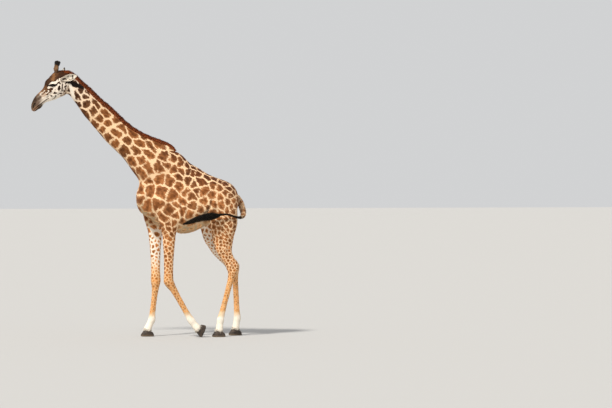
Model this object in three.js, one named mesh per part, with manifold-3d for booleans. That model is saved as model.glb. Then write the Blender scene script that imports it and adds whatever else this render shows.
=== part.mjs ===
// A giraffe cow in mid-stride, as a life-size still model: trunk, neck, head, four legs on cloven hooves,
// mane, ears, horns (ossicones), eyes and a tail that swings round the left thigh.
//
// Millimetres, +Z up. The animal faces -Y and its left side is +X. While it is being made, y = 0 lies under
// the withers; the last lines move the whole group so that z = 0 is the floor and the origin is the middle
// of the footprint of its bounding box.

import * as THREE from "three";
import { mergeVertices } from "three/addons/utils/BufferGeometryUtils.js";
import Module from "manifold-3d";

const wasm = await Module();
wasm.setup();

// ---------------------------------------------------------------- driving dimensions

const SEAM = 0.5; // the gap left wherever two parts meet
const FAR = 4000; // a length that reaches past the whole animal
const WELD = 0.05; // points closer than this are one point

const EYE_RADIUS = 25;
const EAR_LENGTH = 212;
const EAR_WALL = 8;
const HORN_HEIGHT = 132;
const MANE_HEIGHT = 50;
const HOOF = { length: 190, width: 150, height: 100, heel: 60, cleft: 9 };

const LEFT = 1;
const RIGHT = -1;

// ---------------------------------------------------------------- solids

function solidOf(geometry) {
  const bare = new THREE.BufferGeometry();
  bare.setAttribute("position", geometry.getAttribute("position"));
  bare.setIndex(geometry.index);
  const merged = mergeVertices(bare, 1e-3);
  return new wasm.Manifold(
    new wasm.Mesh({
      numProp: 3,
      vertProperties: merged.attributes.position.array,
      triVerts: new Uint32Array(merged.index.array),
    }),
  );
}

const join = (...solids) => solids.reduce((whole, next) => whole.add(next));

// Flesh drawn as rings along a bone line. A ring is [x, y, z, front, back, side, pinch]: a point of the line,
// how far the flesh reaches from it to the front (or upper) side, to the back (or under) side and to each
// side, and how much narrower than its middle the front side is. Front is the line's direction crossed
// with `across`, so a line runs down a leg, up the neck, from poll to muzzle and from rump to breast.
// A swell is [x, y, z, width, depth, height, by]: flesh near that point stands out by that much more.
const PLAIN_LOFT = { sides: 20, steps: 2, across: [1, 0, 0], power: 2.2, grow: 0, swells: [] };
function loft(rings, options = {}) {
  const { sides, steps, across, power, grow, swells } = { ...PLAIN_LOFT, ...options };
  const line = new THREE.CatmullRomCurve3(rings.map(([x, y, z]) => new THREE.Vector3(x, y, z)));
  const reaches = new THREE.CatmullRomCurve3(
    rings.map(([, , , front, back, side]) => new THREE.Vector3(front, back, side)),
    false,
    "catmullrom",
  );
  const pinches = rings.map((ring) => ring[6] ?? 0);
  const acrossAxis = new THREE.Vector3(...across);
  const count = (rings.length - 1) * steps;
  const positions = [];
  for (let i = 0; i <= count; i++) {
    const share = i / count;
    const centre = line.getPoint(share);
    const along = line.getTangent(share);
    const front = along.clone().cross(acrossAxis).normalize();
    const side = front.clone().cross(along).normalize();
    const reach = reaches.getPoint(share);
    const place = share * (rings.length - 1);
    const before = Math.min(Math.floor(place), rings.length - 2);
    const pinch = THREE.MathUtils.lerp(pinches[before], pinches[before + 1], place - before);
    if (grow && (i === 0 || i === count)) centre.addScaledVector(along, i ? grow : -grow);
    for (let k = 0; k < sides; k++) {
      const angle = (k / sides) * 2 * Math.PI;
      const inLine = Math.sign(Math.cos(angle)) * Math.abs(Math.cos(angle)) ** (2 / power);
      const aside = Math.sign(Math.sin(angle)) * Math.abs(Math.sin(angle)) ** (2 / power);
      const deep = (inLine > 0 ? reach.x : reach.y) + grow;
      const wide = (reach.z + grow) * (1 - pinch * inLine);
      const out = front.clone().multiplyScalar(inLine * deep).addScaledVector(side, aside * wide);
      const point = centre.clone().add(out);
      point.addScaledVector(out.normalize(), swellAt(point, swells));
      positions.push(point.x, point.y, point.z);
    }
    if (i === 0 || i === count) positions.push(centre.x, centre.y, centre.z);
  }
  // The first ring's middle comes after its own points, and the last ring's middle comes last of all.
  const ringStart = (i) => i * sides + (i ? 1 : 0);
  const index = [];
  for (let k = 0; k < sides; k++) {
    const next = (k + 1) % sides;
    index.push(sides, k, next);
    for (let i = 0; i < count; i++) {
      const [here, there] = [ringStart(i), ringStart(i + 1)];
      index.push(here + k, there + k, there + next, here + k, there + next, here + next);
    }
    const last = ringStart(count);
    index.push(last + sides, last + next, last + k);
  }
  const geometry = new THREE.BufferGeometry();
  geometry.setAttribute("position", new THREE.Float32BufferAttribute(positions, 3));
  geometry.setIndex(index);
  return solidOf(geometry);
}

function swellAt(point, swells) {
  let total = 0;
  for (const [x, y, z, width, depth, height, by] of swells) {
    const away = ((point.x - x) / width) ** 2 + ((point.y - y) / depth) ** 2 + ((point.z - z) / height) ** 2;
    total += by * Math.exp(-away);
  }
  return total;
}

const mirrored = (swells) => swells.flatMap((swell) => [swell, [-swell[0], ...swell.slice(1)]]);

function ball([x, y, z], radius) {
  return solidOf(new THREE.SphereGeometry(radius, 12, 7).rotateX(Math.PI / 2).translate(x, y, z));
}

// Everything on the side of a plane that `towards` points to, as a large box.
function halfSpace([x, y, z], towards, gap = 0) {
  const direction = new THREE.Vector3(...towards).normalize();
  const box = new THREE.BoxGeometry(FAR, FAR, FAR).translate(0, 0, FAR / 2 + gap);
  box.applyQuaternion(new THREE.Quaternion().setFromUnitVectors(new THREE.Vector3(0, 0, 1), direction));
  return solidOf(box.translate(x, y, z));
}

// ---------------------------------------------------------------- meshes

const COAT = { color: 0xb98352, roughness: 0.8, metalness: 0 };
const HORN = { color: 0x3a3330, roughness: 0.55, metalness: 0 };
const HAIR = { color: 0x1d1815, roughness: 0.7, metalness: 0 };
const MANE = { color: 0x6e3a20, roughness: 0.8, metalness: 0 };
const EYE = { color: 0x17100c, roughness: 0.08, metalness: 0 };

const giraffe = new THREE.Group();

// Cuts leave slivers: points nearer to each other than WELD become one, and what collapses is dropped.
function welded(points, triangles) {
  const home = points.map((_, i) => i);
  const find = (i) => {
    while (home[i] !== i) i = home[i];
    return i;
  };
  for (let i = 0; i < triangles.length; i++) {
    const j = i % 3 === 2 ? i - 2 : i + 1;
    const [a, b] = [find(triangles[i]), find(triangles[j])];
    if (a !== b && points[a].distanceTo(points[b]) < WELD) home[Math.max(a, b)] = Math.min(a, b);
  }
  const kept = [];
  for (let i = 0; i < triangles.length; i += 3) {
    const corners = [0, 1, 2].map((n) => find(triangles[i + n]));
    if (new Set(corners).size === 3) kept.push(...corners);
  }
  return kept;
}

function show(name, solid, finish) {
  const { vertProperties, triVerts, numProp } = solid.getMesh();
  const points = [];
  for (let i = 0; i < vertProperties.length; i += numProp) {
    points.push(new THREE.Vector3().fromArray(vertProperties, i));
  }
  const corners = welded(points, triVerts).map((i) => points[i]);
  const geometry = mergeVertices(new THREE.BufferGeometry().setFromPoints(corners), 1e-5);
  const mesh = new THREE.Mesh(geometry, new THREE.MeshStandardMaterial(finish));
  mesh.name = name;
  giraffe.add(mesh);
}

// ---------------------------------------------------------------- trunk and neck

// From rump to breast. Front and back reach the line of the back and of the belly.
const TRUNK = [
  [0, 938, 1900, 50, 60, 60, 0],
  [0, 905, 1905, 120, 150, 150, 0.05],
  [0, 850, 1920, 200, 215, 222, 0.1],
  [0, 740, 1950, 276, 262, 268, 0.16],
  [0, 600, 1975, 306, 322, 286, 0.2],
  [0, 450, 1990, 356, 428, 302, 0.24],
  [0, 300, 2005, 434, 518, 306, 0.3],
  [0, 150, 2020, 508, 548, 298, 0.38],
  [0, 10, 2030, 655, 528, 278, 0.46],
  [0, -170, 2010, 560, 450, 246, 0.32],
  [0, -340, 1985, 400, 352, 204, 0.14],
  [0, -470, 1965, 250, 215, 150, 0],
  [0, -540, 1960, 100, 95, 70, 0],
];
const TRUNK_SWELLS = [
  ...mirrored([
    [215, 560, 2190, 110, 130, 90, 22], // point of the hip
    [250, 330, 1830, 160, 300, 230, 16], // barrel
    [235, 500, 1960, 90, 80, 150, -18], // hollow of the flank
    [150, 860, 2050, 90, 90, 90, 12], // pin bone
  ]),
  [0, -500, 1930, 160, 120, 120, 30], // breast
];

// From inside the chest to inside the skull. Front is the crest, back is the throat.
const NECK = [
  [0, -90, 2300, 300, 330, 190, 0.34],
  [0, -225, 2432, 320, 335, 206, 0.36],
  [0, -377, 2524, 290, 292, 182, 0.36],
  [0, -500, 2630, 236, 240, 156, 0.34],
  [0, -606, 2724, 204, 208, 136, 0.32],
  [0, -734, 2822, 190, 196, 120, 0.3],
  [0, -871, 2937, 176, 182, 110, 0.26],
  [0, -1030, 3103, 162, 166, 100, 0.22],
  [0, -1189, 3261, 144, 148, 92, 0.18],
  [0, -1300, 3393, 126, 130, 85, 0.14],
  [0, -1397, 3514, 112, 124, 80, 0.1],
  [0, -1490, 3606, 104, 130, 78, 0.05],
  [0, -1570, 3672, 85, 110, 70, 0],
];

// ---------------------------------------------------------------- head

const SKULL = new THREE.Vector3(0, -1637, 3633); // the middle of the braincase
const HEAD_PITCH = THREE.MathUtils.degToRad(43); // how far the face slopes below level

// A point of the head: how far from the skull's middle towards the muzzle, and how far above that line.
function onHead(x, towardsMuzzle, above) {
  const [cosine, sine] = [Math.cos(HEAD_PITCH), Math.sin(HEAD_PITCH)];
  return [
    x,
    SKULL.y - towardsMuzzle * cosine - above * sine,
    SKULL.z - towardsMuzzle * sine + above * cosine,
  ];
}

// From poll to lips: [distance towards the muzzle, height of the brow side, depth of the jaw side, side,
// pinch].
const HEAD = [
  [-172, 18, 40, 34, 0],
  [-140, 72, 104, 66, 0],
  [-75, 138, 162, 92, 0.05],
  [0, 166, 180, 102, 0.12],
  [65, 160, 180, 106, 0.16],
  [125, 148, 159, 104, 0.16],
  [190, 130, 138, 90, 0.16],
  [250, 113, 108, 76, 0.15],
  [320, 106, 72, 62, 0.08],
  [390, 102, 63, 57, 0],
  [450, 82, 70, 60, -0.06],
  [505, 54, 68, 57, -0.04],
  [545, 12, 62, 46, 0],
  [566, -22, 48, 22, 0],
].map(([towards, brow, jaw, side, pinch]) => {
  const half = (brow + jaw) / 2;
  return [...onHead(0, towards, brow - half), half, half, side, pinch];
});
const HEAD_SWELLS = [
  ...mirrored([
    [...onHead(100, 118, 96), 40, 52, 34, 15], // brow ridge over the eye
    [...onHead(98, 122, 46), 34, 34, 26, -8], // eye socket
    [...onHead(92, 40, -40), 50, 80, 80, 9], // cheek
    [...onHead(84, 190, 10), 40, 75, 40, 7], // cheekbone
    [...onHead(52, 478, 28), 30, 34, 30, 9], // nostril
    [...onHead(58, 345, -22), 30, 80, 34, -6], // hollow before the cheek
  ]),
  [...onHead(0, 120, 140), 46, 60, 60, 10], // middle of the forehead
  [...onHead(0, 440, -70), 50, 34, 34, 8], // chin
];

const EYE_AT = (hand) => onHead(hand * 82, 120, 50);

// ---------------------------------------------------------------- legs

// The middle of each joint, [x, y, z]. The right foreleg leads; the left one trails, its knee bent and the
// tip of its toes on the ground.
const LEGS = {
  foreleg_left: {
    blade: [92, -60, 2490],
    shoulder: [222, -175, 1960],
    elbow: [216, -112, 1590],
    knee: [194, -116, 800],
    fetlock: [188, 208, 240],
    coronet: [186, 296, 139],
    toesDown: 65,
  },
  foreleg_right: {
    blade: [-92, -100, 2475],
    shoulder: [-222, -285, 1955],
    elbow: [-216, -236, 1590],
    knee: [-194, -228, 806],
    fetlock: [-186, -292, 245],
    coronet: [-184, -345, 118],
    toesDown: 0,
  },
  hindleg_left: {
    hip: [130, 770, 2130],
    stifle: [200, 688, 1600],
    gaskin: [186, 700, 1240],
    hock: [178, 838, 990],
    fetlock: [176, 640, 250],
    coronet: [176, 628, 118],
    toesDown: 0,
  },
  hindleg_right: {
    hip: [-130, 760, 2130],
    stifle: [-200, 604, 1600],
    gaskin: [-186, 704, 1240],
    hock: [-178, 926, 985],
    fetlock: [-176, 960, 250],
    coronet: [-176, 944, 118],
    toesDown: 0,
  },
};

// Rings down a leg: [from joint, to joint, share of the way, front, back, side, pinch].
const FORE_RINGS = [
  ["blade", "shoulder", 0, 70, 70, 22, 0],
  ["blade", "shoulder", 0.3, 118, 120, 56, 0],
  ["blade", "shoulder", 0.65, 165, 180, 72, 0],
  ["blade", "shoulder", 1, 188, 226, 84, 0],
  ["shoulder", "elbow", 0.45, 170, 206, 88, 0],
  ["shoulder", "elbow", 0.9, 138, 158, 84, 0],
  ["elbow", "knee", 0.1, 112, 118, 74, 0],
  ["elbow", "knee", 0.22, 98, 100, 66, 0],
  ["elbow", "knee", 0.4, 84, 84, 59, 0],
  ["elbow", "knee", 0.62, 74, 73, 53, 0],
  ["elbow", "knee", 0.84, 71, 68, 52, 0],
  ["elbow", "knee", 0.94, 76, 71, 58, 0],
  ["elbow", "knee", 1, 78, 74, 62, 0],
  ["knee", "fetlock", 0.08, 70, 70, 58, 0],
  ["knee", "fetlock", 0.19, 50, 60, 48, 0.05],
  ["knee", "fetlock", 0.42, 41, 49, 38, 0.05],
  ["knee", "fetlock", 0.7, 40, 46, 35, 0.05],
  ["knee", "fetlock", 0.87, 44, 48, 38, 0],
  ["knee", "fetlock", 0.96, 50, 58, 46, 0],
];
const HIND_RINGS = [
  ["hip", "stifle", 0, 110, 90, 50, 0],
  ["hip", "stifle", 0.25, 186, 140, 92, 0],
  ["hip", "stifle", 0.55, 214, 176, 114, 0],
  ["hip", "stifle", 0.8, 214, 196, 118, 0],
  ["hip", "stifle", 1, 204, 205, 112, 0.05],
  ["stifle", "gaskin", 0.3, 196, 166, 98, 0.05],
  ["stifle", "gaskin", 0.6, 176, 136, 86, 0],
  ["stifle", "gaskin", 1, 122, 118, 70, 0],
  ["gaskin", "hock", 0.3, 112, 82, 60, 0.1],
  ["gaskin", "hock", 0.58, 98, 74, 53, 0.1],
  ["gaskin", "hock", 0.84, 104, 92, 54, 0.1],
  ["gaskin", "hock", 1, 118, 84, 56, 0.1],
  ["hock", "fetlock", 0.06, 92, 68, 55, 0.1],
  ["hock", "fetlock", 0.14, 62, 54, 50, 0.1],
  ["hock", "fetlock", 0.25, 47, 47, 42, 0.05],
  ["hock", "fetlock", 0.45, 44, 46, 37, 0.05],
  ["hock", "fetlock", 0.7, 42, 45, 35, 0.05],
  ["hock", "fetlock", 0.88, 43, 48, 38, 0],
  ["hock", "fetlock", 0.96, 49, 57, 46, 0],
];
const FOOT_RINGS = [
  ["fetlock", "coronet", 0.08, 51, 62, 50, 0],
  ["fetlock", "coronet", 0.5, 48, 52, 47, 0],
  ["fetlock", "coronet", 0.82, 54, 52, 56, 0],
  ["fetlock", "coronet", 1.25, 60, 58, 64, 0],
];

function legFlesh(leg, grow = 0) {
  const profile = [...(leg.stifle ? HIND_RINGS : FORE_RINGS), ...FOOT_RINGS];
  const rings = profile.map(([from, to, share, ...reach]) => {
    const at = new THREE.Vector3(...leg[from]).lerp(new THREE.Vector3(...leg[to]), share);
    return [at.x, at.y, at.z, ...reach];
  });
  return loft(rings, { sides: 12, steps: 1, grow });
}

// ---------------------------------------------------------------- hooves

// Turns a foot's own frame (origin at the coronet's middle, the sole below it) to its place on the leg.
const SOLE = -118; // how far the sole lies below the coronet's middle
function footPlace(leg) {
  const turn = new THREE.Matrix4().makeRotationX(THREE.MathUtils.degToRad(leg.toesDown));
  return new THREE.Matrix4().makeTranslation(...leg.coronet).multiply(turn);
}

// The hoof's share of a foot, or the pastern's: the two sides of a coronet that falls from toe to heel.
function coronetSide(leg, upward, gap) {
  const place = footPlace(leg);
  const middle = SOLE + (HOOF.height + HOOF.heel) / 2;
  const slope = new THREE.Vector3(0, (HOOF.height - HOOF.heel) / HOOF.length, 1);
  const towards = slope.transformDirection(place).multiplyScalar(upward ? 1 : -1);
  return halfSpace(new THREE.Vector3(0, 0, middle).applyMatrix4(place).toArray(), towards.toArray(), gap);
}

// One claw of a cloven hoof, from above the coronet down to its flat sole.
function claw(leg, hand) {
  const middle = (hand * (HOOF.width + HOOF.cleft)) / 4;
  const half = (HOOF.width - HOOF.cleft) / 4;
  const toe = HOOF.length * 0.56; // reach of the toe from below the coronet's middle
  const heel = HOOF.length - toe;
  const rings = [
    [middle, 0, SOLE + HOOF.height + 34, 50, 52, half * 0.84, 0],
    [middle, 0, SOLE + HOOF.height, 62, 60, half * 0.92, 0.02],
    [middle, 0, SOLE + HOOF.height * 0.5, toe - 21, heel - 10, half, 0.12],
    [middle, 0, SOLE + HOOF.height * 0.14, toe - 2, heel, half, 0.22],
    [middle, 0, SOLE, toe - 7, heel - 5, half - 3, 0.24],
  ];
  return loft(rings, { sides: 10, steps: 1, power: 2.6 }).transform(footPlace(leg).toArray());
}

// ---------------------------------------------------------------- ears and horns

// Root and tip of each ear, and which way its hollow faces. The left ear lies back, the right one stands up.
const EARS = {
  ear_left: { root: [88, -1622, 3686], tip: [166, -1428, 3716], hollow: [0.93, -0.3, -0.2] },
  ear_right: { root: [-88, -1622, 3692], tip: [-206, -1548, 3850], hollow: [-0.5, -0.85, 0.1] },
};
const EAR_LEAF = [
  // share of the length, half thickness, half width
  [-0.05, 24, 24],
  [0.12, 27, 34],
  [0.34, 25, 47],
  [0.56, 21, 50],
  [0.78, 15, 38],
  [0.92, 9, 20],
  [1, 4, 6],
];

// A leaf-shaped cup: an outer leaf less a smaller one moved towards the hollow side.
function ear({ root, tip, hollow }) {
  const [from, to] = [new THREE.Vector3(...root), new THREE.Vector3(...tip)];
  const axis = to.clone().sub(from).normalize();
  to.copy(from).addScaledVector(axis, EAR_LENGTH);
  const open = new THREE.Vector3(...hollow).projectOnPlane(axis).normalize();
  const across = open.clone().cross(axis).toArray();
  const leaf = (shrink, shift) =>
    EAR_LEAF.map(([share, thick, wide]) => {
      const at = from.clone().lerp(to, share).addScaledVector(open, shift);
      return [at.x, at.y, at.z, thick, thick, Math.max(wide - shrink, 2), 0];
    });
  const shape = { sides: 10, steps: 1, across, power: 2 };
  return loft(leaf(0, 0), shape).subtract(loft(leaf(EAR_WALL, EAR_WALL * 1.7).slice(1), shape));
}

// A skin-covered horn with a knob at its tip, leaned a little back and outward.
const HORN_PROFILE = [
  // height, reach to the front, reach to the back
  [-80, 40, 46],
  [-10, 33, 38],
  [30, 27, 30],
  [70, 23, 24],
  [104, 22, 24],
  [122, 28, 30],
  [140, 27, 29],
  [150, 12, 14],
];
function horn(hand) {
  const root = new THREE.Vector3(...onHead(hand * 42, -61, 165));
  const rise = new THREE.Vector3(hand * 0.09, 0.19, 1).normalize();
  const rings = HORN_PROFILE.map(([height, front, back]) => {
    const at = root.clone().addScaledVector(rise, (height * HORN_HEIGHT) / 150);
    return [at.x, at.y, at.z, front, back, (front + back) / 2.1, 0];
  });
  return loft(rings.reverse(), { sides: 8, steps: 1, power: 2 });
}

// ---------------------------------------------------------------- mane and tail

// The top line of the mane, [y, z], from the poll to the withers.
const MANE_LINE = [
  [-1648, 3806],
  [-1560, 3800],
  [-1480, 3778],
  [-1404, 3724],
  [-1335, 3662],
  [-1219, 3561],
  [-1074, 3421],
  [-929, 3300],
  [-784, 3163],
  [-639, 3035],
  [-493, 2945],
  [-348, 2873],
  [-203, 2818],
  [-58, 2768],
  [22, 2716],
];

// A ridge of hair, thin at its top, whose root is sunk in the crest of the neck.
function mane() {
  const rings = MANE_LINE.map(([y, z], i) => {
    const end = i === 0 || i === MANE_LINE.length - 1;
    return [0, y, z, 0.5, MANE_HEIGHT + (end ? -20 : 20), end ? 10 : 19, 0.5];
  }).reverse();
  return loft(rings, { sides: 6, steps: 1, power: 2 });
}

// The tail leaves the rump, hangs, and swings forward round the left thigh: [x, y, z, radius].
const DOCK = [
  [0, 865, 2010, 42],
  [0, 918, 1998, 42],
  [10, 962, 1935, 39],
  [26, 988, 1865, 35],
  [50, 1000, 1800, 29],
  [96, 992, 1748, 22],
  [168, 950, 1716, 17],
  [256, 886, 1712, 14],
  [318, 800, 1732, 12],
  [344, 716, 1756, 12],
  [354, 630, 1756, 13],
];
const SWITCH = [
  [354, 640, 1757, 10],
  [357, 600, 1752, 17],
  [364, 548, 1738, 38],
  [368, 470, 1730, 45],
  [366, 388, 1718, 38],
  [360, 300, 1698, 33],
  [356, 210, 1668, 30],
  [352, 130, 1640, 22],
  [350, 55, 1614, 7],
];
const TAIL_ACROSS = [1, 1, 1]; // never in line with the tail, which turns through all three axes
function tailLoft(points, grow = 0) {
  const rings = points.map(([x, y, z, radius]) => [x, y, z, radius, radius, radius, 0]);
  return loft(rings, { sides: 8, steps: 1, power: 2, across: TAIL_ACROSS, grow });
}

// ---------------------------------------------------------------- the flesh as one solid

const legs = Object.entries(LEGS).map(([name, leg]) => ({ name, leg, flesh: legFlesh(leg) }));

const flesh = join(
  loft(TRUNK, { sides: 18, steps: 2, swells: TRUNK_SWELLS }),
  loft(NECK, { sides: 16, steps: 1 }),
  loft(HEAD, { sides: 16, steps: 2, swells: HEAD_SWELLS }),
  ...legs.map((each) => each.flesh),
);

// ---------------------------------------------------------------- the flesh, parted into its named pieces

const byVolume = (a, b) => b.volume() - a.volume();
const largest = (solid) => solid.decompose().sort(byVolume)[0];

// A leg is its own part below a plane that slopes up and out from the armpit or the groin.
const LEG_CUT_X = 110;
const LEG_CUTS = { fore: { inner: 1490, slope: 0.95 }, hind: { inner: 1560, slope: 1.15 } };
function belowLegCut(leg, gap) {
  const hand = Math.sign(leg.coronet[0]);
  const { inner, slope } = leg.stifle ? LEG_CUTS.hind : LEG_CUTS.fore;
  return halfSpace([hand * LEG_CUT_X, 0, inner], [hand * slope, 0, -1], gap);
}

const eyeball = (hand, grow = 0) => ball(EYE_AT(hand), EYE_RADIUS + grow);
let body = flesh.subtract(join(eyeball(LEFT, SEAM), eyeball(RIGHT, SEAM)));
for (const { leg } of legs) {
  body = body.subtract(legFlesh(leg, SEAM).intersect(belowLegCut(leg, -SEAM)));
}
body = largest(body);

// Cuts across the flesh: a point, and the direction towards the head.
const POLL_CUT = [[0, -1500, 3640], [0, -0.85, 0.53]];
const NECK_CUT = [[0, -930, 3000], [0, -0.68, 0.73]];
const BREAST_CUT = [[0, -345, 2500], [0, -0.8, 0.6]];
const headward = ([at, towards]) => halfSpace(at, towards, SEAM / 2);
const tailward = ([at, towards]) => halfSpace(at, towards.map((n) => -n), SEAM / 2);

// The lower jaw is what lies under the line of the mouth, ahead of the throat.
const MOUTH = onHead(0, 540, -18);
const mouthLine = new THREE.Vector3(...onHead(0, 190, -58)).sub(new THREE.Vector3(...MOUTH));
const underMouth = mouthLine.clone().cross(new THREE.Vector3(1, 0, 0)).normalize();
const jawBack = onHead(0, 84, -60);
const aheadOfThroat = new THREE.Vector3(...onHead(0, 1, -0.25)).sub(SKULL).normalize();
const jawRegion = (gap) =>
  halfSpace(MOUTH, underMouth.toArray(), gap).intersect(halfSpace(jawBack, aheadOfThroat.toArray(), gap));

const head = body.intersect(headward(POLL_CUT));
show("head", largest(head.subtract(jawRegion(-SEAM / 2))), COAT);
show("lower_jaw", largest(head.intersect(jawRegion(SEAM / 2))), COAT);
show("neck_upper", body.intersect(tailward(POLL_CUT)).intersect(headward(NECK_CUT)), COAT);
show("neck_lower", body.intersect(tailward(NECK_CUT)).intersect(headward(BREAST_CUT)), COAT);
show("trunk", largest(body.intersect(tailward(BREAST_CUT)).subtract(tailLoft(DOCK, SEAM))), COAT);

// Below its cut a leg has three lengths, parted across the knee or hock and across the fetlock.
for (const { name, leg, flesh: wholeLeg } of legs) {
  const [first, middle] = leg.stifle ? ["stifle", "hock"] : ["elbow", "knee"];
  const joint = (key) => new THREE.Vector3(...leg[key]);
  const upAlong = (upper, lower) => joint(upper).sub(joint(lower)).normalize();
  const bend = upAlong(first, middle).add(upAlong(middle, "fetlock"));
  const ankle = upAlong(middle, "fetlock").add(upAlong("fetlock", "coronet"));
  const side = (at, towards, sign) =>
    halfSpace(leg[at], towards.clone().multiplyScalar(sign).toArray(), SEAM / 2);
  const whole = wholeLeg.intersect(belowLegCut(leg, 0)).intersect(coronetSide(leg, true, SEAM / 2));
  const below = whole.intersect(side(middle, bend, -1));
  show(`${name}_${leg.stifle ? "thigh" : "forearm"}`, largest(whole.intersect(side(middle, bend, 1))), COAT);
  show(`${name}_cannon`, largest(below.intersect(side("fetlock", ankle, 1))), COAT);
  show(`${name}_pastern`, largest(below.intersect(side("fetlock", ankle, -1))), COAT);
  const shoe = coronetSide(leg, false, SEAM / 2).intersect(halfSpace([0, 0, 0], [0, 0, 1]));
  const outward = Math.sign(leg.coronet[0]);
  show(`${name}_hoof_outer`, largest(claw(leg, outward).intersect(shoe)), HORN);
  show(`${name}_hoof_inner`, largest(claw(leg, -outward).intersect(shoe)), HORN);
}

// ---------------------------------------------------------------- what stands on the flesh

// Cut by the flesh, then set off from it by the seam along its own direction.
function standOn(solid, [dx, dy, dz]) {
  const offset = new THREE.Vector3(dx, dy, dz).setLength(SEAM * 1.4).toArray();
  return largest(solid.subtract(flesh)).translate(offset);
}

for (const [name, pose] of Object.entries(EARS)) {
  const away = new THREE.Vector3(...pose.tip).sub(new THREE.Vector3(...pose.root));
  show(name, standOn(ear(pose), away.toArray()), COAT);
}
show("ossicone_left", standOn(horn(LEFT), [0, 0, 1]), COAT);
show("ossicone_right", standOn(horn(RIGHT), [0, 0, 1]), COAT);
show("eye_left", eyeball(LEFT), EYE);
show("eye_right", eyeball(RIGHT), EYE);
show("mane", standOn(mane(), [0, 0.7, 0.7]), MANE);
show("tail_dock", tailLoft(DOCK), COAT);
show("tail_switch", tailLoft(SWITCH).subtract(tailLoft(DOCK, SEAM)), HAIR);

// ---------------------------------------------------------------- the origin

const box = new THREE.Box3().setFromObject(giraffe);
const middle = box.getCenter(new THREE.Vector3());
giraffe.position.set(-middle.x, -middle.y, -box.min.z);

export default giraffe;
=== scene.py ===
import math

import bmesh
import bpy
import numpy as np
from mathutils import Matrix, Vector
from mathutils.bvhtree import BVHTree
from mathutils.kdtree import KDTree


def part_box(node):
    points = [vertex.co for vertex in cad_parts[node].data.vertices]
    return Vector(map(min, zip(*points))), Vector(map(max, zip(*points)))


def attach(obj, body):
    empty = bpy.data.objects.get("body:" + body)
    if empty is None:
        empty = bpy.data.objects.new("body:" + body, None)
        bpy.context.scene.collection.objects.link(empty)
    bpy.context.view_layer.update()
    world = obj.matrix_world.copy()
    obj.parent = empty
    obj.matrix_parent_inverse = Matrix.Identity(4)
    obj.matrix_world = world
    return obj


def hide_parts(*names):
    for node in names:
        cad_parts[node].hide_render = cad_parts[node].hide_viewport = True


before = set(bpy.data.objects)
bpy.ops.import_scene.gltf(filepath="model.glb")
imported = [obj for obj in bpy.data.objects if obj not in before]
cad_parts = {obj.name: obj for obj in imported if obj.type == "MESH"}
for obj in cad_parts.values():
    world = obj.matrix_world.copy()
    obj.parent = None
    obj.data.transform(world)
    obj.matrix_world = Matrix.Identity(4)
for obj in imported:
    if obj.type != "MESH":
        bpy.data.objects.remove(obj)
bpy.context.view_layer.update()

rng = np.random.default_rng(20240607)

# ---------------------------------------------------------------- the frame, and places on the body

SIDES = {"left": 1, "right": -1}
CLAWS = ("outer", "inner")
UPPER = {"foreleg": "forearm", "hindleg": "thigh"}
LEG_NODES = {
    f"{leg}_{side}": [f"{leg}_{side}_{length}" for length in (UPPER[leg], "cannon", "pastern")]
    for leg in UPPER
    for side in SIDES
}
PART_NODES = {
    "head": ["head", "lower_jaw"],
    "neck": ["neck_upper", "neck_lower"],
    "trunk": ["trunk"],
    **LEG_NODES,
}
PART_NAMES = list(PART_NODES)
FLESH = [node for nodes in PART_NODES.values() for node in nodes]


def node_box(node):
    low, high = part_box(node)
    return np.array(low), np.array(high)


EYE_BOXES = {hand: node_box(f"eye_{side}") for side, hand in SIDES.items()}
EYE = {hand: (low + high) / 2 for hand, (low, high) in EYE_BOXES.items()}
EYE_RADIUS = (EYE_BOXES[1][1][2] - EYE_BOXES[1][0][2]) / 2

# The face slopes down at this angle, and the eyes lie this far in front of and above the middle of the skull.
HEAD_PITCH = math.radians(43)
FACE = np.array([0, -math.cos(HEAD_PITCH), -math.sin(HEAD_PITCH)])
CROWN = np.array([0, -math.sin(HEAD_PITCH), math.cos(HEAD_PITCH)])
EYE_FORWARD, EYE_UP = 0.120, 0.050
SKULL = (EYE[1] + EYE[-1]) / 2 - FACE * EYE_FORWARD - CROWN * EYE_UP
# The point of the floor under the withers, from which the body is measured.
WITHERS = SKULL - np.array([0, -1.637, 3.633])


def body_point(x, y, z):
    """A point x metres to the animal's left of its middle, y behind the withers and z above the floor."""
    return WITHERS + np.array([x, y, z])


def head_point(x, toward, above):
    """A point x metres to the left, `toward` the muzzle from the middle of the skull and `above` it."""
    return SKULL + np.array([x, 0, 0]) + FACE * toward + CROWN * above


# ---------------------------------------------------------------- numbers

FAR = 9.0  # metres, more than any distance on the animal


def smoothstep(low, high, value):
    t = np.clip((value - low) / (high - low), 0, 1)
    return t * t * (3 - 2 * t)


def window(value, start, full, falling, end):
    """1 from `full` to `falling`, stepping softly up from 0 at `start` and down to 0 at `end`."""
    return smoothstep(start, full, value) * smoothstep(end, falling, value)


def bell(distance):
    return np.exp(-distance * distance)


def read_off(table, at):
    """The other columns of a table, read where its first column has the values `at`."""
    columns = np.array(table, dtype=float).T
    return [np.interp(at, columns[0], column) for column in columns[1:]]


def sampled(rows, places):
    """Rows of numbers, read between them at places from 0 (the first) to 1 (the last)."""
    cell = np.clip(places, 0, 1) * (len(rows) - 1)
    low = np.floor(cell).astype(int).clip(0, len(rows) - 2)
    part = (cell - low)[..., None]
    return rows[low] * (1 - part) + rows[low + 1] * part


def unit(vectors):
    return vectors / np.maximum(np.linalg.norm(vectors, axis=-1, keepdims=True), 1e-12)


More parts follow.
